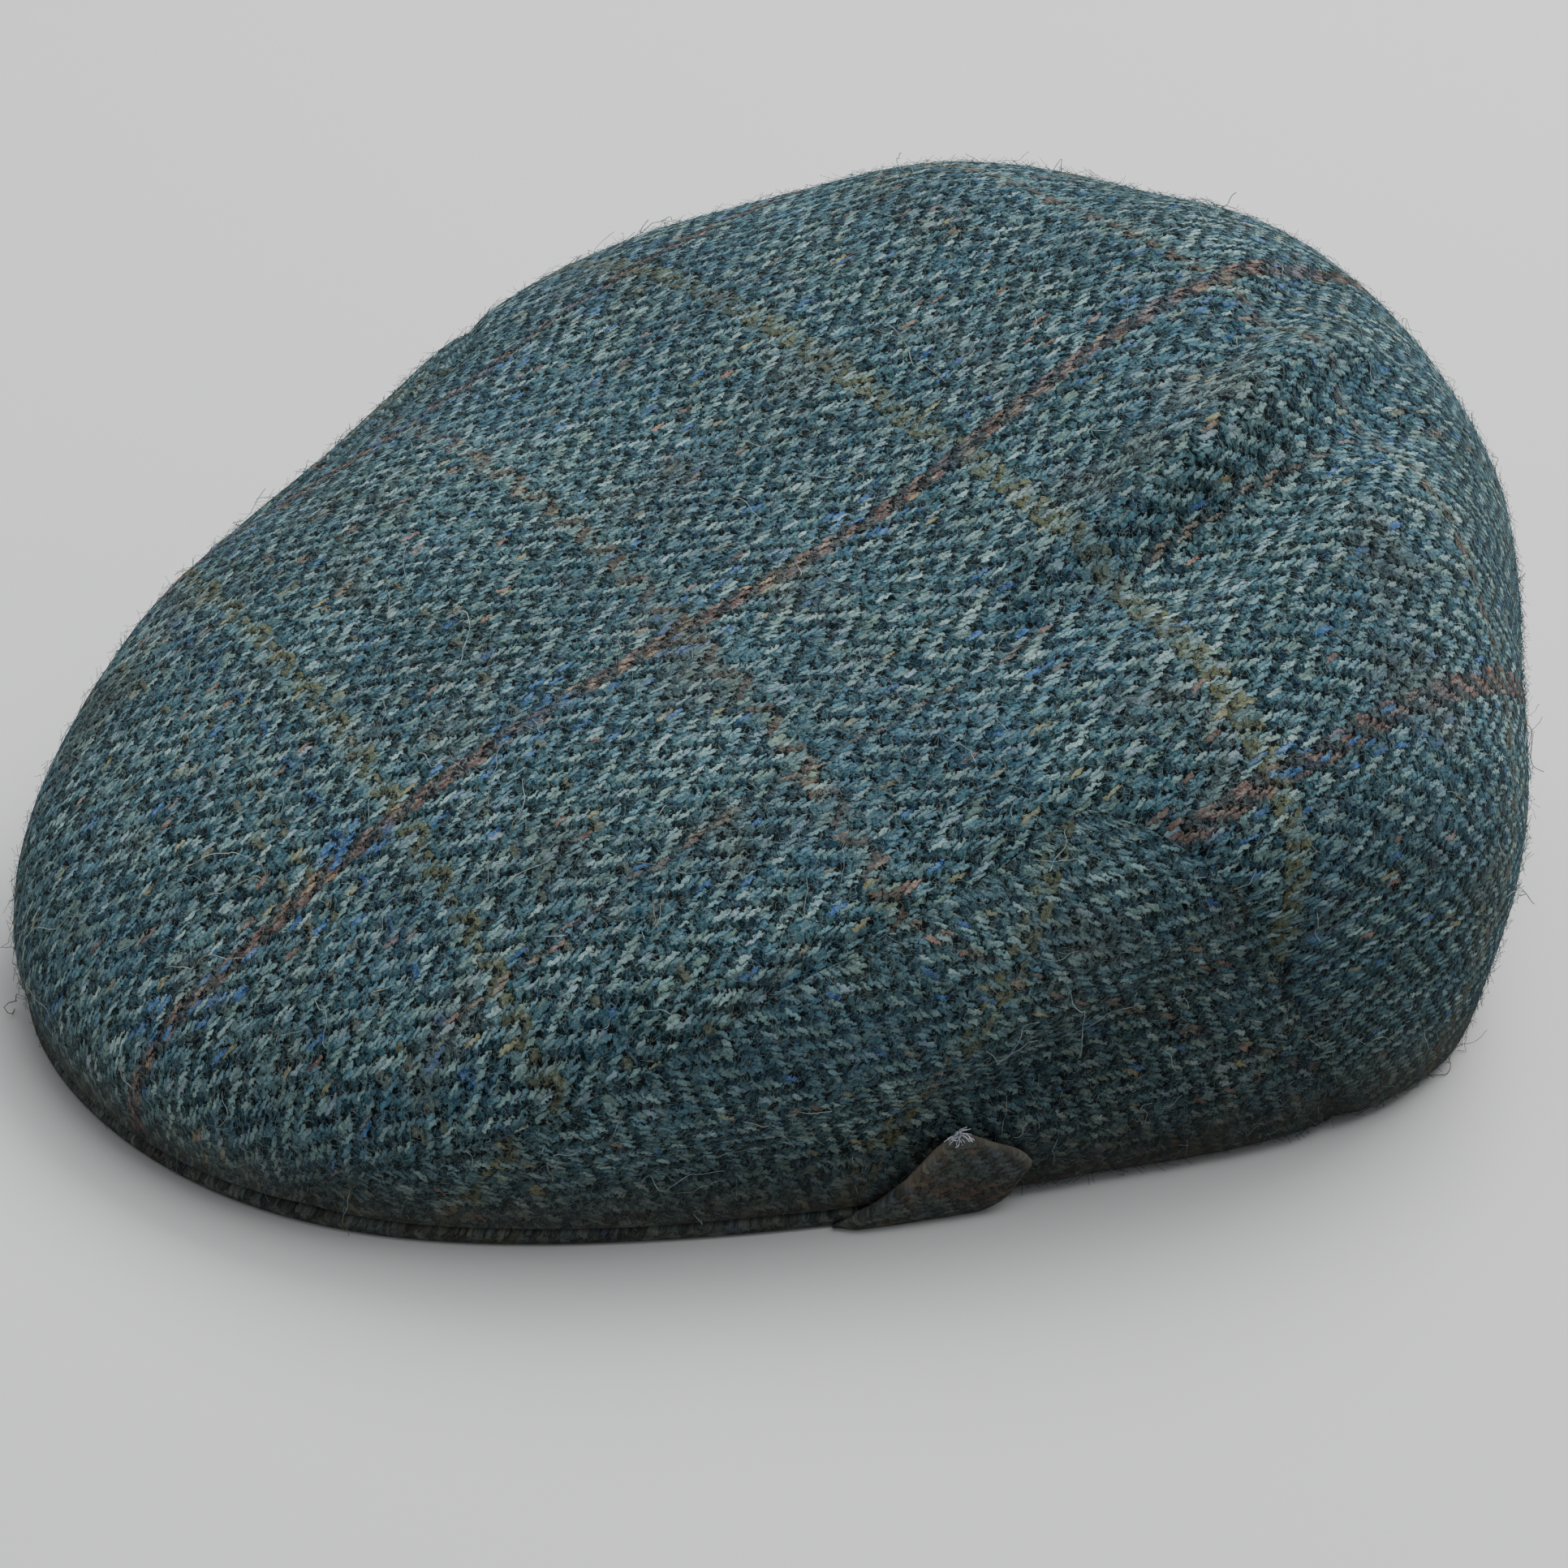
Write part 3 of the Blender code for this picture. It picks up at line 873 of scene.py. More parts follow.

# %% [markdown]
# ## The ears of the peak
#
# Each ear is a small rounded triangle of doubled cloth. It stands against the outside of the side
# panel, so it is laid out in the same way as the panel: by bearing and by distance up the cloth,
# with its outline in a short table. Board and ears become one piece, and its points keep how near
# they lie to an ear's upper edge, where a painted highlight makes the wool pale.

# %% The ears of the peak
EAR_GAP = 0.0004
EAR_THICKNESS = 0.0022
EAR_ROWS = 36
EAR_STEP_DEG = 0.5
EAR_TAPER_DEG = 1.5
EAR_HIGHLIGHT = 0.0010
EAR_EDGE_STEP_DEG = 0.1
# Painted shade over the whole peak: its share of the shade low on the side and of that at the hem
PEAK_LOW = 0.3
PEAK_HEM = 0.8
LIFT = 0.0002
NEARBY = 0.0004
EAR = table(
    "bearing top bottom",
    (
        (61.0, 0.0050, 0.0016),
        (64.0, 0.0084, 0.0010),
        (66.0, 0.0122, 0.0008),
        (68.0, 0.0180, 0.0008),
        (69.3, 0.0203, 0.0010),
        (70.6, 0.0198, 0.0014),
        (72.5, 0.0176, 0.0024),
        (74.5, 0.0156, 0.0060),
        (75.5, 0.0142, 0.0088),
        (76.2, 0.0124, 0.0112),
    ),
)


def ear_section(bearing, side):
    """The closed outline of an ear on one bearing: down its outer face and back up behind it."""
    line, rise = meridian(side * bearing)
    top_edge, bottom = (np.interp(bearing, EAR["bearing"], EAR[name]) for name in ("top", "bottom"))
    share = np.linspace(0.0, 1.0, EAR_ROWS)
    wanted = top_edge + (bottom - top_edge) * share
    wall = point_at(line, rise, wanted)
    slope = point_at(line, rise, wanted + NEARBY) - point_at(line, rise, wanted - NEARBY)
    along_x, along_y = plan_step(side * bearing)
    along = np.array([along_x, along_y, 0.0]) * side
    out = np.cross(slope, along) * -side
    out /= np.linalg.norm(out, axis=1)[:, None]
    from_end = min(bearing - EAR["bearing"][0], EAR["bearing"][-1] - bearing)
    taper = np.clip(from_end / EAR_TAPER_DEG, 0.25, 1.0)
    bulge = np.sqrt(np.clip(1.0 - (2.0 * share - 1.0) ** 6, 0.0, 1.0)) * taper
    front, rear = (
        wall + out * (EAR_GAP + EAR_THICKNESS * (0.5 + half * bulge))[:, None] for half in (0.5, -0.5)
    )
    outline = np.concatenate([front, rear[-2:0:-1]])
    outline[:, 2] = np.maximum(outline[:, 2], LIFT)
    return outline.tolist()


def ear(side):
    bearings = spaced(EAR["bearing"][0], EAR["bearing"][-1], EAR_STEP_DEG)
    return swept("peak_ear", [ear_section(b, side) for b in bearings])


def together(name, pieces):
    """One smooth mesh of several pieces' meshes."""
    bm = bmesh.new()
    for piece in pieces:
        bm.from_mesh(piece.data)
    return smooth_mesh(name, bm)


def ear_edge():
    """Points along the upper edge of both ears."""
    found = []
    for side in (1, -1):
        for b in np.arange(EAR["bearing"][2], EAR["bearing"][-1], EAR_EDGE_STEP_DEG):
            line, rise = meridian(side * b)
            found.append(point_at(line, rise, [np.interp(b, EAR["bearing"], EAR["top"])])[0])
    return np.array(found)


def cover_peak(mesh):
    """Lays the cloth on the peak as seen from above, and marks its points for the material."""
    points = points_of(mesh)
    outward = points[:, :2] - (0.0, POLE_Y)
    outward /= np.linalg.norm(outward, axis=1)[:, None]
    lay_cloth(mesh, points[:, :2] + points[:, 2:3] * outward)
    away = np.linalg.norm(points[:, None] - ear_edge()[None], axis=2).min(1)
    # painted highlight: the cloth is paler along the ears' upper edge
    highlit_edge = bell(np.maximum(away - EAR_THICKNESS / 2, 0.0), EAR_HIGHLIGHT)
    # the whole peak takes painted shade, and the ears' upper edge a painted highlight
    mark(mesh, low=PEAK_LOW, hem=PEAK_HEM, seam=0.0, edge=highlit_edge)


peak_parts = [peak_board, ear(1), ear(-1)]
peak = added("peak_cloth", together("peak_cloth", peak_parts))
for part in peak_parts:
    bpy.data.objects.remove(part, do_unlink=True)
cover_peak(peak.data)
print(f"ears {EAR['top'].max() * 1000:.0f} mm high, and {len(peak.data.polygons)} faces in the whole peak")

# %% [markdown]
# ## Building shader trees with words
#
# A weave is arithmetic: which yarn is this, and is it over or under here? In nodes that is a great
# many Math nodes. So each socket is wrapped as a Value, and Python's own signs between two values
# place the nodes: `a + b` is one Add node, and `a.math("FLOOR")` one node that rounds down.

# %% Building shader trees with words


def put(tree, socket, value):
    """Gives a socket a value, or links it to another socket."""
    value = getattr(value, "socket", value)
    if isinstance(value, bpy.types.NodeSocket):
        tree.links.new(value, socket)
    elif value is not None:
        socket.default_value = value


def node(tree, kind, values=(), **settings):
    """A node with its settings, and its inputs filled by name or by number."""
    made = tree.nodes.new(kind)
    for name, value in settings.items():
        setattr(made, name, value)
    for socket, value in dict(values).items():
        put(tree, made.inputs[socket], value)
    return made


class Value:
    """What a socket gives out. Every sum with it places one Math node."""

    def __init__(self, tree, socket):
        self.tree = tree
        self.socket = socket

    def math(self, operation, *others):
        return first(self.tree, "ShaderNodeMath", dict(enumerate((self, *others))), operation=operation)

    def __add__(self, other):
        return self.math("ADD", other)

    def __sub__(self, other):
        return self.math("SUBTRACT", other)

    def __mul__(self, other):
        return self.math("MULTIPLY", other)

    def __truediv__(self, other):
        return self.math("DIVIDE", other)

    def __rsub__(self, other):
        return first(self.tree, "ShaderNodeMath", {0: other, 1: self}, operation="SUBTRACT")

    __radd__ = __add__


def first(tree, kind, values=(), output=0, **settings):
    """A new node's output, which is its first where no other is named."""
    return Value(tree, node(tree, kind, values, **settings).outputs[output])


def split(tree, value):
    """The three numbers of a vector or a colour."""
    return [Value(tree, socket) for socket in node(tree, "ShaderNodeSeparateXYZ", {0: value}).outputs]


def vector(tree, *numbers):
    return first(tree, "ShaderNodeCombineXYZ", dict(enumerate(numbers)))


def cloudy(tree, where, scale, detail, output="Fac", **more):
    """A noise that changes slowly over the cloth, or as a colour three of them."""
    more = {name.title(): value for name, value in more.items()}
    return first(tree, "ShaderNodeTexNoise", {"Vector": where, "Scale": scale, "Detail": detail, **more}, output)


print("a sum of two values is one node")

# %% [markdown]
# ## Groups, materials and colours
#
# A node group is a small machine with named inputs and outputs, built once and used in many places.
# Colours are given as one picks them on a screen. A ramp with hard steps, fed with a random number,
# draws one of several colours, each as often as its step is wide.

# %% Groups, materials and colours


def new_group(name, inputs, outputs, kind="ShaderNodeTree"):
    """A node group with named sockets, its inputs as values, and a way to fill its outputs."""
    tree = bpy.data.node_groups.new(name, kind)
    for label, sort, value in inputs:
        socket = tree.interface.new_socket(label, in_out="INPUT", socket_type="NodeSocket" + sort)
        if value is not None:
            socket.default_value = value
    for label, sort in outputs:
        tree.interface.new_socket(label, in_out="OUTPUT", socket_type="NodeSocket" + sort)
    given = {s.name: Value(tree, s) for s in tree.nodes.new("NodeGroupInput").outputs}
    result = tree.nodes.new("NodeGroupOutput").inputs

    def give(**values):
        for label, value in values.items():
            put(tree, result[label.replace("_", " ").title()], value)
        return tree

    return tree, given, give


def use_group(tree, group, values):
    """A group placed in a tree, as a dictionary of its outputs."""
    made = node(tree, "ShaderNodeGroup", values, node_tree=group)
    return {socket.name: Value(tree, socket) for socket in made.outputs}


def blend(one, other, factor, how="MIX"):
    """A mix of two colours."""
    values = {0: factor, 6: one, 7: other}
    return first(one.tree, "ShaderNodeMix", values, 2, data_type="RGBA", blend_type=how, clamp_factor=True)


def new_material(name, looks):
    """A material, its tree and the inputs of its one shader, some of them filled."""
    material = bpy.data.materials.new(name)
    material.use_nodes = True
    shader = material.node_tree.nodes["Principled BSDF"].inputs
    for label, value in looks.items():
        shader[label].default_value = value
    return material, material.node_tree, shader


def linear(red, green, blue):
    """A colour as picked on a screen, 0 to 255, as the linear values that a shader takes."""
    share = [c / 255 for c in (red, green, blue)]
    return tuple(c / 12.92 if c <= 0.04045 else ((c + 0.055) / 1.055) ** 2.4 for c in share) + (1.0,)


def pick(chance, rows):
    """A Color Ramp that steps from one colour to the next, from rows of start and colour."""
    made = node(chance.tree, "ShaderNodeValToRGB", {0: chance})
    stops = made.color_ramp.elements
    made.color_ramp.interpolation = "CONSTANT"
    for index, (start, colour) in enumerate(rows):
        stop = stops[index] if index < 2 else stops.new(start)
        stop.position = start
        stop.color = linear(*colour)
    return Value(chance.tree, made.outputs[0])


print("a mid grey in linear values:", [round(c, 3) for c in linear(128, 128, 128)])

# %% [markdown]
# ## The weave
#
# Herringbone is a two-and-two twill that turns round every few ends. Each warp yarn passes over two
# weft yarns and under two, one step later than its neighbour, so the short raised stretches, called
# floats, climb in a slant and then fall again. Each float is a small dome with sizes of its own, and
# thin curls stand for loose hairs that lie flat on the cloth.

# %% The weave
END_PITCH = 0.00082
PICK_PITCH = 0.00139
ENDS_BEFORE_TURN = 6.0
WOBBLE = 1.4
FRAY = 1.6
SLANT = 0.16
REPEAT = 4.0
WOBBLE_SCALE = 330.0
FRAY_SCALE = 1500.0

# Least and spread of a warp float's half width, half length and height, and of a weft float's height
WARP_FLOAT = ((0.51, 0.24), (0.84, 0.55), (0.62, 0.45))
WEFT_HALF_WIDTH = 0.52
WEFT_HALF_LENGTH = 1.25
WEFT_TALL = (0.40, 0.35)
FIBRES_ACROSS = 4.5
ROUGHNESS = 1.1
ROUGH_HEIGHT = 0.30
YARN_EDGE = 3.0
CURL_SCALES = ((420.0, 0.0), (640.0, 3.0))
CURL_LEVEL = 0.52
CURL_WIDTH = 0.020


def dome(aside, along, half_width, half_length):
    """The height of a rounded float: 1 at its middle and 0 at its outline."""
    wide = (aside / half_width).math("ABSOLUTE").math("POWER", 2.0)
    long = (along / half_length).math("ABSOLUTE").math("POWER", 2.5)
    return (1.0 - wide - long).math("MAXIMUM", 0.0).math("SQRT")


def float_numbers(tree, *key):
    """A random number for one float, and three more for its sizes."""
    made = node(tree, "ShaderNodeTexWhiteNoise", {"Vector": vector(tree, *key)}, noise_dimensions="3D").outputs
    return Value(tree, made["Value"]), split(tree, made["Color"])


def curls(tree, cloth):
    """Thin curling lines: the level lines of two noises."""
    found = 0.0
    for scale, offset in CURL_SCALES:
        there = first(tree, "ShaderNodeVectorMath", {0: cloth, 1: (offset, offset, 0.0)}, operation="ADD")
        away = (cloudy(tree, there, scale, 1.0, distortion=0.6) - CURL_LEVEL).math("ABSOLUTE")
        line = first(tree, "ShaderNodeMapRange", {0: away, 1: 0.0, 2: CURL_WIDTH, 3: 1.0, 4: 0.0})
        found = line.math("MAXIMUM", found)
    return found


print(f"the herringbone turns every {ENDS_BEFORE_TURN * END_PITCH * 1000:.1f} mm")

# %% [markdown]
# ## The weave as a group
#
# The group says, for any place on the cloth, how high the yarn is there, whether it is warp or weft,
# which yarn it is, and a random number for its float. Two noises move the place, a slow one that lets
# the yarns wander and a fine one that frays their outlines, because spun wool is never as even as a
# drawing of it. Streaks run along each float, as its fibres do.

# %% The weave as a group


def weave_group():
    tree, given, give = new_group(
        "herringbone weave",
        (
            ("Cloth", "Vector", None),
            ("End Pitch", "Float", END_PITCH),
            ("Pick Pitch", "Float", PICK_PITCH),
            ("Ends", "Float", ENDS_BEFORE_TURN),
            ("Wobble", "Float", WOBBLE),
            ("Fray", "Float", FRAY),
            ("Slant", "Float", SLANT),
        ),
        [(label, "Float") for label in ("Height", "Warp", "Across", "Along", "Warp Chance", "Weft Chance")]
        + [("Streak", "Float"), ("Hair", "Float")],
    )
    cloth, ends = given["Cloth"], given["Ends"]
    slow, fine = (split(tree, cloudy(tree, cloth, scale, 1.0, "Color")) for scale in (WOBBLE_SCALE, FRAY_SCALE))
    a, b = (
        at / pitch + (wander - 0.5) * given["Wobble"] + (fray - 0.5) * given["Fray"]
        for at, pitch, wander, fray in zip(split(tree, cloth), (given["End Pitch"], given["Pick Pitch"]), slow, fine)
    )
    end, pick_number = a.math("FLOOR"), b.math("FLOOR")

    falling = end.math("FLOORED_MODULO", ends * 2.0).math("GREATER_THAN", ends)
    step = b + (end + 0.5).math("PINGPONG", ends) + 1.0
    up = step.math("FLOORED_MODULO", REPEAT) - 2.0
    aside_end = a.math("FRACT") - 0.5 - up * given["Slant"] * (1.0 - falling * 2.0)
    warp_chance, sizes = float_numbers(tree, end, (step / REPEAT).math("FLOOR"), 0.0)
    wide, long, tall = (size * spread + least for size, (least, spread) in zip(sizes, WARP_FLOAT))
    warp_height = dome(aside_end, up, wide, long) * tall

    step = pick_number + a.math("PINGPONG", ends) + 3.0
    over = step.math("FLOORED_MODULO", REPEAT) - 2.0
    weft_chance, sizes = float_numbers(tree, (step / REPEAT).math("FLOOR"), pick_number, 7.0)
    least, spread = WEFT_TALL
    weft_dome = dome(b.math("FRACT") - 0.5, over, WEFT_HALF_WIDTH, WEFT_HALF_LENGTH)
    weft_height = weft_dome * (sizes[0] * spread + least)

    fibres = cloudy(tree, vector(tree, aside_end * FIBRES_ACROSS, up, end), 1.4, 2.5)
    rough = fibres * ROUGHNESS - ROUGHNESS / 2
    return give(
        height=rough * ROUGH_HEIGHT + warp_height.math("SMOOTH_MAX", weft_height, 0.15),
        warp=first(tree, "ShaderNodeClamp", {"Value": (warp_height - weft_height) * YARN_EDGE + 0.5 + rough}),
        across=(end + 0.5) * given["End Pitch"],
        along=(pick_number + 0.5) * given["Pick Pitch"],
        warp_chance=warp_chance,
        weft_chance=weft_chance,
        streak=fibres,
        hair=curls(tree, cloth),
    )


WEAVE = weave_group()
print(f"weave: {len(WEAVE.nodes)} nodes, ends {END_PITCH * 1000:.2f} mm and picks {PICK_PITCH * 1000:.2f} mm apart")

# %% [markdown]
# ## The overcheck
#
# Over the plain weave runs a windowpane of coloured yarns. Rust ends run from front to back, with
# stray blue beside them, and mustard picks cross them every few centimetres. Fainter brown lines
# lie between. Each line is a row in a short table, as it would be in a weaver's draft. A line colours
# whole floats, which is what breaks it into dashes. The group also says where a line runs, because
# in a milled cloth the yarns that cross it take some of its colour.

# %% The overcheck
RUST = (104, 70, 56)
TAN = (142, 116, 88)
BROWN = (104, 84, 68)
MUSTARD = (108, 106, 66)
BLUE = (54, 84, 134)
SUNK_RUST = (70, 48, 40)
CHECK_PITCH = 0.0541

NEAR_LINE = 0.0065
CHECK_HALF = 0.0021

# Place on the cloth in metres, half width in metres, colour, strength
TOP_ENDS = (
    (-0.0720, 0.0013, RUST, 0.85),
    (-0.0490, 0.0010, BROWN, 0.40),
    (0.0138, 0.0018, RUST, 0.96),
    (0.0138, 0.0018, TAN, 0.14),
    (0.0515, 0.0010, BROWN, 0.45),
    (0.0950, 0.0020, RUST, 0.85),
)
TOP_PICKS = tuple(
    (0.0100 + k * CHECK_PITCH, CHECK_HALF, MUSTARD if k % 2 == 0 else BROWN, strength)
    for k, strength in zip(range(-3, 5), (0.25, 0.60) + (0.80,) * 6)
)
SIDE_ENDS = ((-0.0300, 0.0010, BROWN, 0.4), (0.0240, 0.0013, RUST, 0.7))
SIDE_PICKS = tuple((-0.0040 + k * CHECK_PITCH, CHECK_HALF, MUSTARD, 0.7) for k in (-2, -1, 0, 1))


def lines_group(name, rows, column):
    """A group that paints one set of the overcheck's lines on a colour."""
    _, given, give = new_group(
        name,
        (("Color", "Color", (0.1, 0.1, 0.1, 1.0)), (column, "Float", 0.0), ("Chance", "Float", 0.5)),
        (("Color", "Color"), ("Near", "Float"), ("Core", "Float")),
    )
    colour, at, chance = given["Color"], given[column], given["Chance"]
    near = core = 0.0
    for place, half, paint, strength in rows:
        on_line = at.math("COMPARE", place, half)
        colour = blend(colour, linear(*paint), on_line * chance.math("LESS_THAN", strength))
        core = on_line * strength + core
        if paint == RUST:
            near = at.math("COMPARE", place, NEAR_LINE) + near
    return give(color=colour, near=near, core=core)


CHECKS = {
    "top": (lines_group("top ends", TOP_ENDS, "Across"), lines_group("top picks", TOP_PICKS, "Along")),
    "side": (lines_group("side ends", SIDE_ENDS, "Across"), lines_group("side picks", SIDE_PICKS, "Along")),
}
print(f"overcheck: {len(TOP_ENDS)} ends and {len(TOP_PICKS)} picks on the top panel")

# %% [markdown]
# ## Spun and heathered
#
# Tweed yarn is dyed before it is spun, so no two stretches have one colour. The warp is sage and
# blue-grey, the weft a deep teal, and both carry flecks of yellow, blue and rust. The colour of each
# float is drawn from a ramp by its random number, so the shares of the colours are simply the widths
# of the ramp's bands.

# %% Spun and heathered
WARP_COLOURS = (
    (0.00, (89, 117, 124)),
    (0.24, (114, 139, 138)),
    (0.42, (69, 99, 111)),
    (0.58, (133, 153, 151)),
    (0.69, (48, 78, 89)),
    (0.81, (100, 120, 109)),
    (0.92, (122, 137, 147)),
    (0.955, (128, 122, 86)),
    (0.970, (52, 82, 136)),
    (0.986, (120, 88, 72)),
)
WEFT_COLOURS = (
    (0.00, (25, 50, 60)),
    (0.30, (37, 66, 72)),
    (0.52, (27, 46, 66)),
    (0.68, (50, 80, 87)),
    (0.86, (73, 98, 101)),
    (0.970, (88, 84, 58)),
    (0.985, (39, 64, 109)),
)
HEATHER = (
    (0.00, (21, 50, 64)),
    (0.42, (58, 92, 103)),
    (0.50, (85, 116, 119)),
    (0.57, (122, 146, 146)),
    (0.64, (71, 106, 124)),
    (0.71, (118, 104, 84)),
)
BLUER_CLOTH = (46, 80, 102)
WORN_CLOTH = (84, 84, 76)
HAIR_COLOUR = (138, 152, 150)
EDGE_HIGHLIGHT = (128, 118, 104)
MATTED_WOOL = (84, 88, 86)
print(f"{len(WARP_COLOURS)} colours in the warp, {len(WEFT_COLOURS)} in the weft, {len(HEATHER)} in the heather")

# %% [markdown]
# ## The tweeds
#
# Over the yarns' colours come patches of bluer and of worn cloth, painted shade between the yarns,
# slow cloudiness and pale hairs. At the hem and on the peak the wool is matted and its weave hardly
# shows. Painted shade darkens and browns the cloth low on the side and near the hem, and darkens it in
# the seams; a painted highlight pales the upper edge of the ears. The three tweeds differ in how their
# cloth is laid, how matted it is and how much painted shade they take.

# %% The tweeds
MATTED_HEM = 0.75
HEATHERED = 0.30
HEATHER_SCALE = 1100.0
STRAY_BLUE = 0.76
BLUE_BLOTCH = (0.44, 0.58)
TINTED_WARP = 0.35
SUNK_WEFT = 0.80

# Patches: the noise's two ends, the strength and the colour
PATCH_SCALE = 55.0
PATCHES = ((0.46, 0.66, 0.32, BLUER_CLOTH), (0.54, 0.70, 0.40, WORN_CLOTH))

# How strongly hairs show, how much fewer in matted wool, how much painted shade darkens the cloth
# at the hem and in a seam, and how much a painted highlight pales the ears' upper edge
HAIRS = 0.40
HAIRS_LOST = 0.30
HEM_SHADED = 0.9
SEAM_SHADED = 0.30
EDGE_HIGHLIGHT_SHARE = 0.7
BUMP = {"Strength": 0.8, "Distance": 0.00045}

# Brightness, with painted shade between the yarns: how much the yarns' height, the matted wool, the
# streaks and the clouds count
DARKEST = 0.05
HEIGHT_LIGHT = 1.60
MATTED_LIGHT = 0.70
STREAK_LIGHT = 0.52
CLOUD_LIGHT = 0.56
CLOUD_SCALE = 38.0

WOOL_LOOKS = {"Roughness": 0.95, "Specular IOR Level": 0.03, "Sheen Weight": 0.03, "Sheen Roughness": 0.6}

# Linear colours of painted shade that the cloth is multiplied by low on the side, at the hem and in
# a seam
LOW_SHADE_TINT = (0.42, 0.345, 0.30, 1.0)
HEM_SHADE_TINT = (0.92, 0.76, 0.64, 1.0)
SEAM_SHADE_TINT = (0.35, 0.37, 0.38, 1.0)


def between_two(value, low, high):
    """Nothing below one value, everything above another, and a smooth change between them."""
    return first(value.tree, "ShaderNodeMapRange", {0: value, 1: low, 2: high}, interpolation_type="SMOOTHSTEP")


def yarn_colour(tree, cloth, yarn, check):
    """The colour of the yarns with their overcheck, before any light and shade."""
    ends, picks = CHECKS[check]
    patch = split(tree, cloudy(tree, cloth, PATCH_SCALE, 2.0, "Color"))
    chance = yarn["Warp Chance"]
    warp_values = {"Color": pick(chance, WARP_COLOURS), "Across": yarn["Across"], "Chance": chance}
    warp = use_group(tree, ends, warp_values)
    blue = warp["Near"] * chance.math("GREATER_THAN", STRAY_BLUE) * between_two(patch[0], *BLUE_BLOTCH)
    chance = yarn["Weft Chance"]
    weft_values = {"Color": pick(chance, WEFT_COLOURS), "Along": yarn["Along"], "Chance": chance}
    weft = use_group(tree, picks, weft_values)
    warp_colour = blend(warp["Color"], linear(*BLUE), blue)
    warp_colour = blend(warp_colour, linear(*MUSTARD), weft["Core"] * TINTED_WARP)
    weft_colour = blend(weft["Color"], linear(*SUNK_RUST), warp["Core"] * SUNK_WEFT)
    colour = blend(weft_colour, warp_colour, yarn["Warp"])
    colour = blend(colour, pick(cloudy(tree, cloth, HEATHER_SCALE, 2.0), HEATHER), HEATHERED)
    for kind, (low, high, strength, paint) in zip(patch[1:], PATCHES):
        colour = blend(colour, linear(*paint), between_two(kind, low, high) * strength)
    return colour


def tweed_material(name, check, shade, nap, low_shade):
    """The cloth: its colour, its roughness and its relief, for one of the ways in which it is laid."""
    material, tree, shader = new_material(name, WOOL_LOOKS)
    cloth = first(tree, "ShaderNodeUVMap", uv_map="cloth")
    yarn = use_group(tree, WEAVE, {"Cloth": cloth})
    seam, low, hem, edge = (
        first(tree, "ShaderNodeAttribute", output="Fac", attribute_name=label)
        for label in ("seam", "low", "hem", "edge")
    )
    matted = (hem * MATTED_HEM).math("MAXIMUM", nap)
    raised = yarn["Height"] * (1.0 - matted)
    # painted shade between the yarns: the lower a yarn lies, the darker it is drawn
    between = (raised * HEIGHT_LIGHT + matted * MATTED_LIGHT).math("MAXIMUM", DARKEST)
    clouds = cloudy(tree, first(tree, "ShaderNodeTexCoord", output="Object"), CLOUD_SCALE, 3.0) + CLOUD_LIGHT
    light = between * (yarn["Streak"] + STREAK_LIGHT) * (clouds * shade)
    colour = blend(yarn_colour(tree, cloth, yarn, check), linear(*MATTED_WOOL), matted)
    colour = blend(colour, vector(tree, light, light, light), 1.0, "MULTIPLY")
    colour = blend(colour, linear(*HAIR_COLOUR), yarn["Hair"] * (HAIRS - matted * HAIRS_LOST))
    # painted shade: darker and browner low on the side and near the hem, darker in a seam's groove
    for amount, tint in ((low * low_shade, LOW_SHADE_TINT), (hem * HEM_SHADED, HEM_SHADE_TINT), (seam * SEAM_SHADED, SEAM_SHADE_TINT)):
        colour = blend(colour, tint, amount, "MULTIPLY")
    # painted highlight along the ears' upper edge
    put(tree, shader["Base Color"], blend(colour, linear(*EDGE_HIGHLIGHT), edge * EDGE_HIGHLIGHT_SHARE))
    put(tree, shader["Normal"], first(tree, "ShaderNodeBump", {**BUMP, "Height": raised}))
    return material


# shade: painted shade over the whole tweed, a little on the side panels; low_shade: how much of the painted shade
# low on the side it takes
TWEED = {
    "top": tweed_material("tweed on the top panel", "top", shade=1.0, nap=0.0, low_shade=0.8),
    "side": tweed_material("tweed on the side panels", "side", shade=0.95, nap=0.1, low_shade=0.9),
    "peak": tweed_material("tweed on the peak", "top", shade=1.0, nap=0.55, low_shade=0.9),
}
print("three tweeds:", ", ".join(m.name for m in TWEED.values()))

# %% [markdown]
# ## Loose wool
#
# Wool never lies quite flat: short ends stand up all over it, and here and there a long crimped
# fibre has worked loose. All are the same idea, so one Geometry Nodes tree makes them: scatter
# points over the cloth, stand a line on each at a slant, crimp the lines with noise, and sweep a
# small triangle along them. The sizes are inputs of the tree, so one modifier with other values
# makes the short fuzz, two lengths of stray fibre and the tuft on the left ear.

# %% Loose wool
FIBRE_FLOOR = 0.0003
FIBRE_ROOT = -0.02
FIBRE_INPUTS = (
    ("Density", "Float", 3000.0),
    ("Seed", "Int", 1),
    ("Shortest", "Float", 0.002),
    ("Longest", "Float", 0.004),
    ("Least Tilt", "Float", 0.9),
    ("Most Tilt", "Float", 1.5),
    ("Crimp", "Float", 0.001),
    ("Crimp Scale", "Float", 260.0),
    ("Points", "Int", 5),
    ("Radius", "Float", 0.00005),
    ("Material", "Material", None),
)


def random_value(tree, low, high, seed):
    """A random number for each point."""
    made = node(tree, "FunctionNodeRandomValue", {2: low, 3: high, "Seed": seed}, data_type="FLOAT")
    return made.outputs[1]


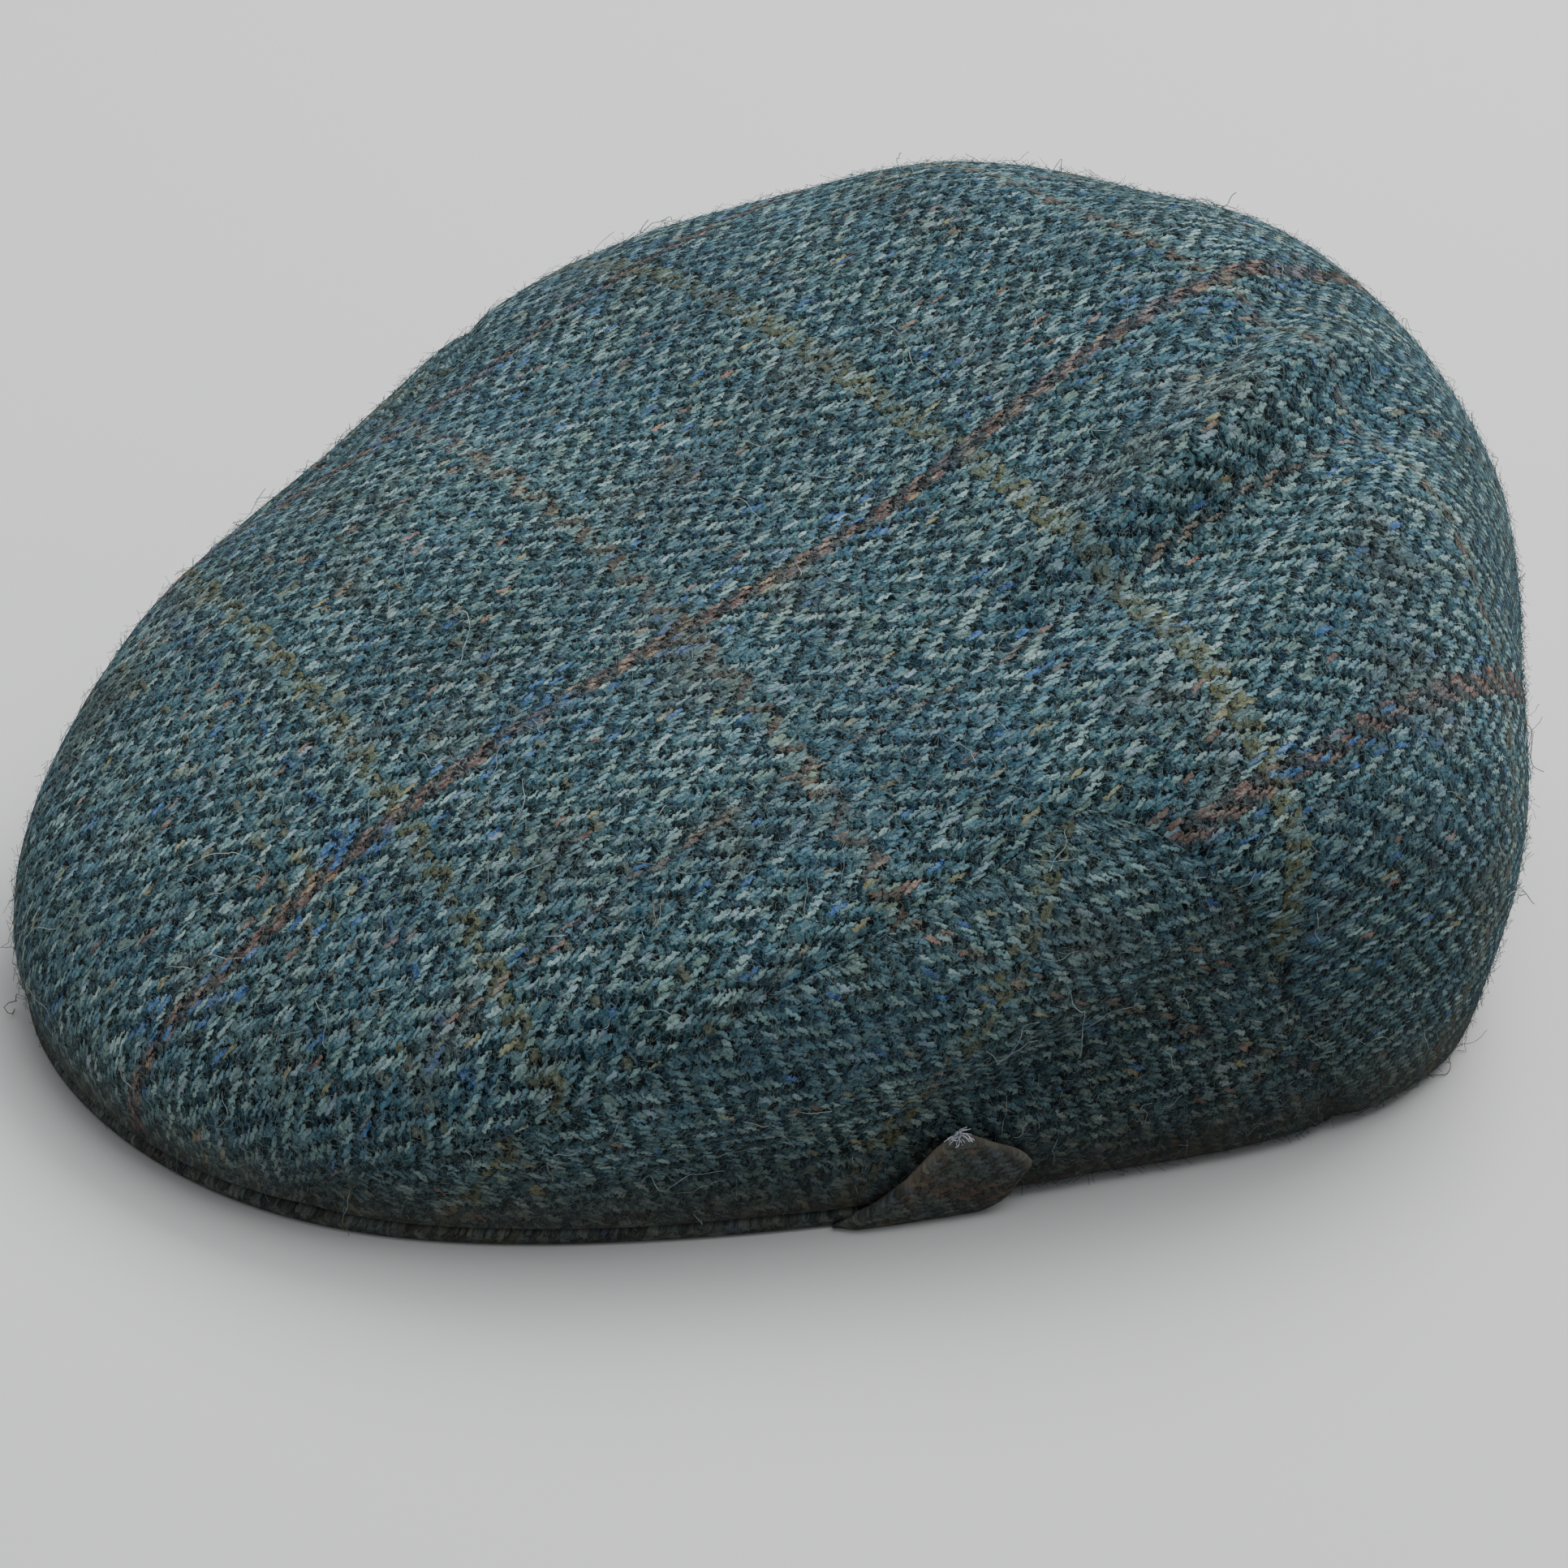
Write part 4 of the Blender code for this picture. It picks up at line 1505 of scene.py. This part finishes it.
def fibre_tree():
    tree, given, give = new_group(
        "loose fibres",
        (("Geometry", "Geometry", None), *FIBRE_INPUTS),
        (("Geometry", "Geometry"),),
        "GeometryNodeTree",
    )

    def step(name, values, **settings):
        return node(tree, "GeometryNode" + name, values, **settings)

    scatter_values = {"Mesh": given["Geometry"], "Seed": given["Seed"], "Density": given["Density"]}
    scatter = step("DistributePointsOnFaces", scatter_values).outputs
    tilt = random_value(tree, given["Least Tilt"], given["Most Tilt"], 1)
    spin = random_value(tree, 0.0, 2.0 * math.pi, 2)
    turned = first(tree, "FunctionNodeEulerToRotation", {0: vector(tree, tilt, 0.0, spin)})
    stand = first(tree, "FunctionNodeRotateRotation", {0: scatter["Rotation"], 1: turned}, rotation_space="LOCAL")
    line = step("CurvePrimitiveLine", {"Start": (0.0, 0.0, FIBRE_ROOT), "End": (0.0, 0.0, 1.0)}).outputs[0]
    fine = step("ResampleCurve", {"Curve": line, "Count": given["Points"]}).outputs[0]
    length = random_value(tree, given["Shortest"], given["Longest"], 3)
    rows = {"Points": scatter["Points"], "Instance": fine, "Rotation": stand, "Scale": length}
    real = step("RealizeInstances", {0: step("InstanceOnPoints", rows).outputs[0]}).outputs[0]

    wave = node(tree, "ShaderNodeTexNoise", {"Scale": given["Crimp Scale"], "Detail": 1.0}).outputs["Color"]
    centred = first(tree, "ShaderNodeVectorMath", {0: wave, 1: (0.5, 0.5, 0.5)}, operation="SUBTRACT")
    amount = first(tree, "GeometryNodeSplineParameter", output="Factor") * given["Crimp"]
    offset = first(tree, "ShaderNodeVectorMath", {0: centred, "Scale": amount}, operation="SCALE")
    crimped = step("SetPosition", {"Geometry": real, "Offset": offset}).outputs[0]
    x, y, z = split(tree, first(tree, "GeometryNodeInputPosition"))
    clear = vector(tree, x, y, z.math("MAXIMUM", FIBRE_FLOOR))
    lifted = step("SetPosition", {"Geometry": crimped, "Position": clear}).outputs[0]
    section = step("CurvePrimitiveCircle", {"Resolution": 3, "Radius": given["Radius"]}).outputs[0]
    round_values = {"Curve": lifted, "Profile Curve": section, "Fill Caps": True}
    body = step("CurveToMesh", round_values).outputs[0]
    return give(geometry=step("SetMaterial", {"Geometry": body, "Material": given["Material"]}).outputs[0])


FIBRES = fibre_tree()
print(f"loose fibres: {len(FIBRES.nodes)} nodes")

# %% [markdown]
# ## The colours of loose wool
#
# A fibre is too thin to show a pattern, so it only takes a colour from a coarse noise: bluish and
# sage for the fuzz, paler for the stray fibres and nearly white for the tuft, a loose tuft whose
# whiteness also paints the highlight at the ear's tip.

# %% The colours of loose wool


def fibre_material(name, rows):
    material, tree, shader = new_material(name, {"Roughness": 0.7, "Specular IOR Level": 0.08})
    chance = cloudy(tree, first(tree, "ShaderNodeTexCoord", output="Object"), 180.0, 0.0)
    put(tree, shader["Base Color"], pick(chance, rows))
    return material


# near-white loose wool, which also paints the highlight at the ear's tip
LINT_AND_HIGHLIGHT = fibre_material("pale lint and highlight", ((0.0, (226, 228, 236)), (0.5, (204, 208, 222))))
PALE_WOOL = fibre_material(
    "pale wool",
    ((0.0, (118, 134, 136)), (0.42, (150, 160, 156)), (0.52, (126, 138, 146)), (0.60, (136, 130, 108))),
)
FUZZ_WOOL = fibre_material(
    "fuzz wool",
    (
        (0.0, (44, 76, 86)),
        (0.40, (84, 110, 112)),
        (0.50, (38, 66, 84)),
        (0.58, (108, 126, 122)),
        (0.66, (84, 84, 74)),
    ),
)
print("wools:", ", ".join(m.name for m in (LINT_AND_HIGHLIGHT, PALE_WOOL, FUZZ_WOOL)))

# %% [markdown]
# ## Scatter the wool over the cloth
#
# The fuzz is most of the wool. In one piece it would be over 300,000 triangles, which is heavy to
# keep and to load, so it is scattered four times with other seeds. Each kind of fibre is one short
# row of values, in the order of the tree's inputs.

# %% Scatter the wool over the cloth
TUFT_SIZE = 0.0012
TUFT_DOWN = 0.001
FUZZ_PIECES = 4

# Density, seed, shortest, longest, least and most tilt, crimp, crimp scale, points and radius
FUZZ = (65000.0, 11, 0.0014, 0.0036, 1.18, 1.52, 0.0034, 430.0, 3, 0.00004)
STRAY = (3000.0, 23, 0.003, 0.008, 1.30, 1.52, 0.007, 260.0, 9, 0.00006)
TUFT = (5.0e7, 5, 0.0010, 0.0024, 0.2, 1.5, 0.0030, 600.0, 6, 0.00007)
LONG_STRAY = (900.0, 37, 0.007, 0.016, 1.40, 1.54, 0.016, 170.0, 18, 0.00009)


def grown(name, cloth, wool, sizes, next_seed=0):
    """Fibres grown on a sheet, as a plain mesh."""
    values = dict(zip([label for label, _, _ in FIBRE_INPUTS], sizes), Material=wool)
    values["Seed"] += next_seed
    host = added(name + "_host", cloth)
    modifier = host.modifiers.new("fibres", "NODES")
    modifier.node_group = FIBRES
    for item in FIBRES.interface.items_tree:
        if item.in_out == "INPUT" and item.name in values:
            modifier[item.identifier] = values[item.name]
    mesh = bpy.data.meshes.new_from_object(host.evaluated_get(bpy.context.evaluated_depsgraph_get()))
    mesh.name = name
    bpy.data.objects.remove(host, do_unlink=True)
    print(f"{name}: {len(mesh.polygons)} faces")
    return added(name, mesh)


def tuft_patch():
    """A small square at the tip of the left ear, where a tuft of wool has come loose."""
    bearing = EAR["bearing"][EAR["top"].argmax()]
    line, rise = meridian(bearing)
    tip, lower = point_at(line, rise, [EAR["top"].max(), EAR["top"].max() - TUFT_DOWN])
    across = np.array([*plan_step(bearing), 0.0])
    across *= TUFT_SIZE / np.linalg.norm(across)
    down = (lower - tip) * TUFT_SIZE / np.linalg.norm(lower - tip)
    tip = tip + np.cross(down, across) / TUFT_SIZE**2 * EAR_THICKNESS / 2
    mesh = bpy.data.meshes.new("tuft_patch")
    mesh.from_pydata([tuple(p) for p in (tip, tip + down, tip + down + across, tip + across)], [], [(0, 1, 2, 3)])
    return mesh


cloth_faces = together("outer_faces", (top, left_side, right_side))
loose_wool = [grown(f"wool_fuzz_{part + 1}", cloth_faces, FUZZ_WOOL, FUZZ, part) for part in range(FUZZ_PIECES)]
loose_wool += [
    grown("stray_fibres", cloth_faces, PALE_WOOL, STRAY),
    grown("ear_tuft", tuft_patch(), LINT_AND_HIGHLIGHT, TUFT),
    grown("long_stray_fibres", cloth_faces, PALE_WOOL, LONG_STRAY),
]

# %% [markdown]
# ## Thickness, and joining the frame
#
# Solidify gives each sheet its wall on the inner side. Every finished piece then takes the material
# of its cloth, stands for the plain solid that it replaces, which is hidden, and rides on the cap's
# one body.

# %% Thickness, and joining the frame
for piece, solid_name, cloth_name in (
    (top, "top_panel", "top"),
    (left_side, "side_panel_left", "side"),
    (right_side, "side_panel_right", "side"),
    (peak, "peak", "peak"),
):
    piece.data.materials.append(TWEED[cloth_name])
    if cloth_name != "peak":
        wall = piece.modifiers.new("wall", "SOLIDIFY")
        wall.thickness = CLOTH
        wall.offset = -1.0
    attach(piece, BODY)
    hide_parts(solid_name)
    "peak_tweed" if cloth_name == "peak" else "tweed"
for piece in loose_wool:
    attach(piece, BODY)

# %% [markdown]
# ## Table and light
#
# The cap rests on a pale table under a wide soft light overhead. A smaller one high behind it models
# the crown and leaves the near side in shade, and a faint one low in front lifts the front edge. Soft
# light is kind to wool: hard light would turn every fibre end into a white dot.

# %% Table and light
TABLE_SIZE = 6.0
bpy.ops.mesh.primitive_plane_add(size=TABLE_SIZE)
table_top = bpy.context.object
table_top.name = "table_top"
pale, _, _ = new_material("pale table", {"Base Color": (0.70, 0.70, 0.69, 1.0), "Roughness": 0.8})
table_top.data.materials.append(pale)
table_top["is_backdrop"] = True

world = bpy.context.scene.world or bpy.data.worlds.new("room")
bpy.context.scene.world = world
world.use_nodes = True
room = world.node_tree.nodes["Background"]
room.inputs["Color"].default_value = (0.92, 0.96, 1.0, 1.0)
room.inputs["Strength"].default_value = 0.34


def soft_light(name, bearing, elevation, distance, size, power, colour):
    """A square light that faces the cap."""
    lamp = bpy.data.lights.new(name, "AREA")
    lamp.size = size
    lamp.energy = power
    lamp.color = colour
    _, side, above, behind = camera_axes(math.radians(bearing), math.radians(elevation), 0.0)
    added(name, lamp, facing(behind * distance, side, above, behind))


soft_light("key_light", -160.0, 54.0, 1.4, 0.8, 14.0, (1.0, 0.99, 0.98))
soft_light("sky_light", -165.0, 74.0, 1.8, 2.2, 31.0, (0.98, 0.99, 1.0))
soft_light("fill_light", -5.0, 20.0, 1.8, 1.2, 2.4, (0.98, 0.98, 1.0))

# %% [markdown]
# ## Measuring the result
#
# The finished cloth may stand a little proud of the plain solids, but the cap must keep its size. The
# box of the frame and the box of the finished cap are written side by side, to be compared.

# %% Measuring the result
dressed_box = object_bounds()
sizes = {"frame": [list(c) for c in cad_box], "cap": [list(c) for c in dressed_box]}
for axis, one, other in zip("xyz", zip(*sizes["frame"]), zip(*sizes["cap"])):
    print(axis, [round(v * 1000, 1) for v in one], "became", [round(v * 1000, 1) for v in other])
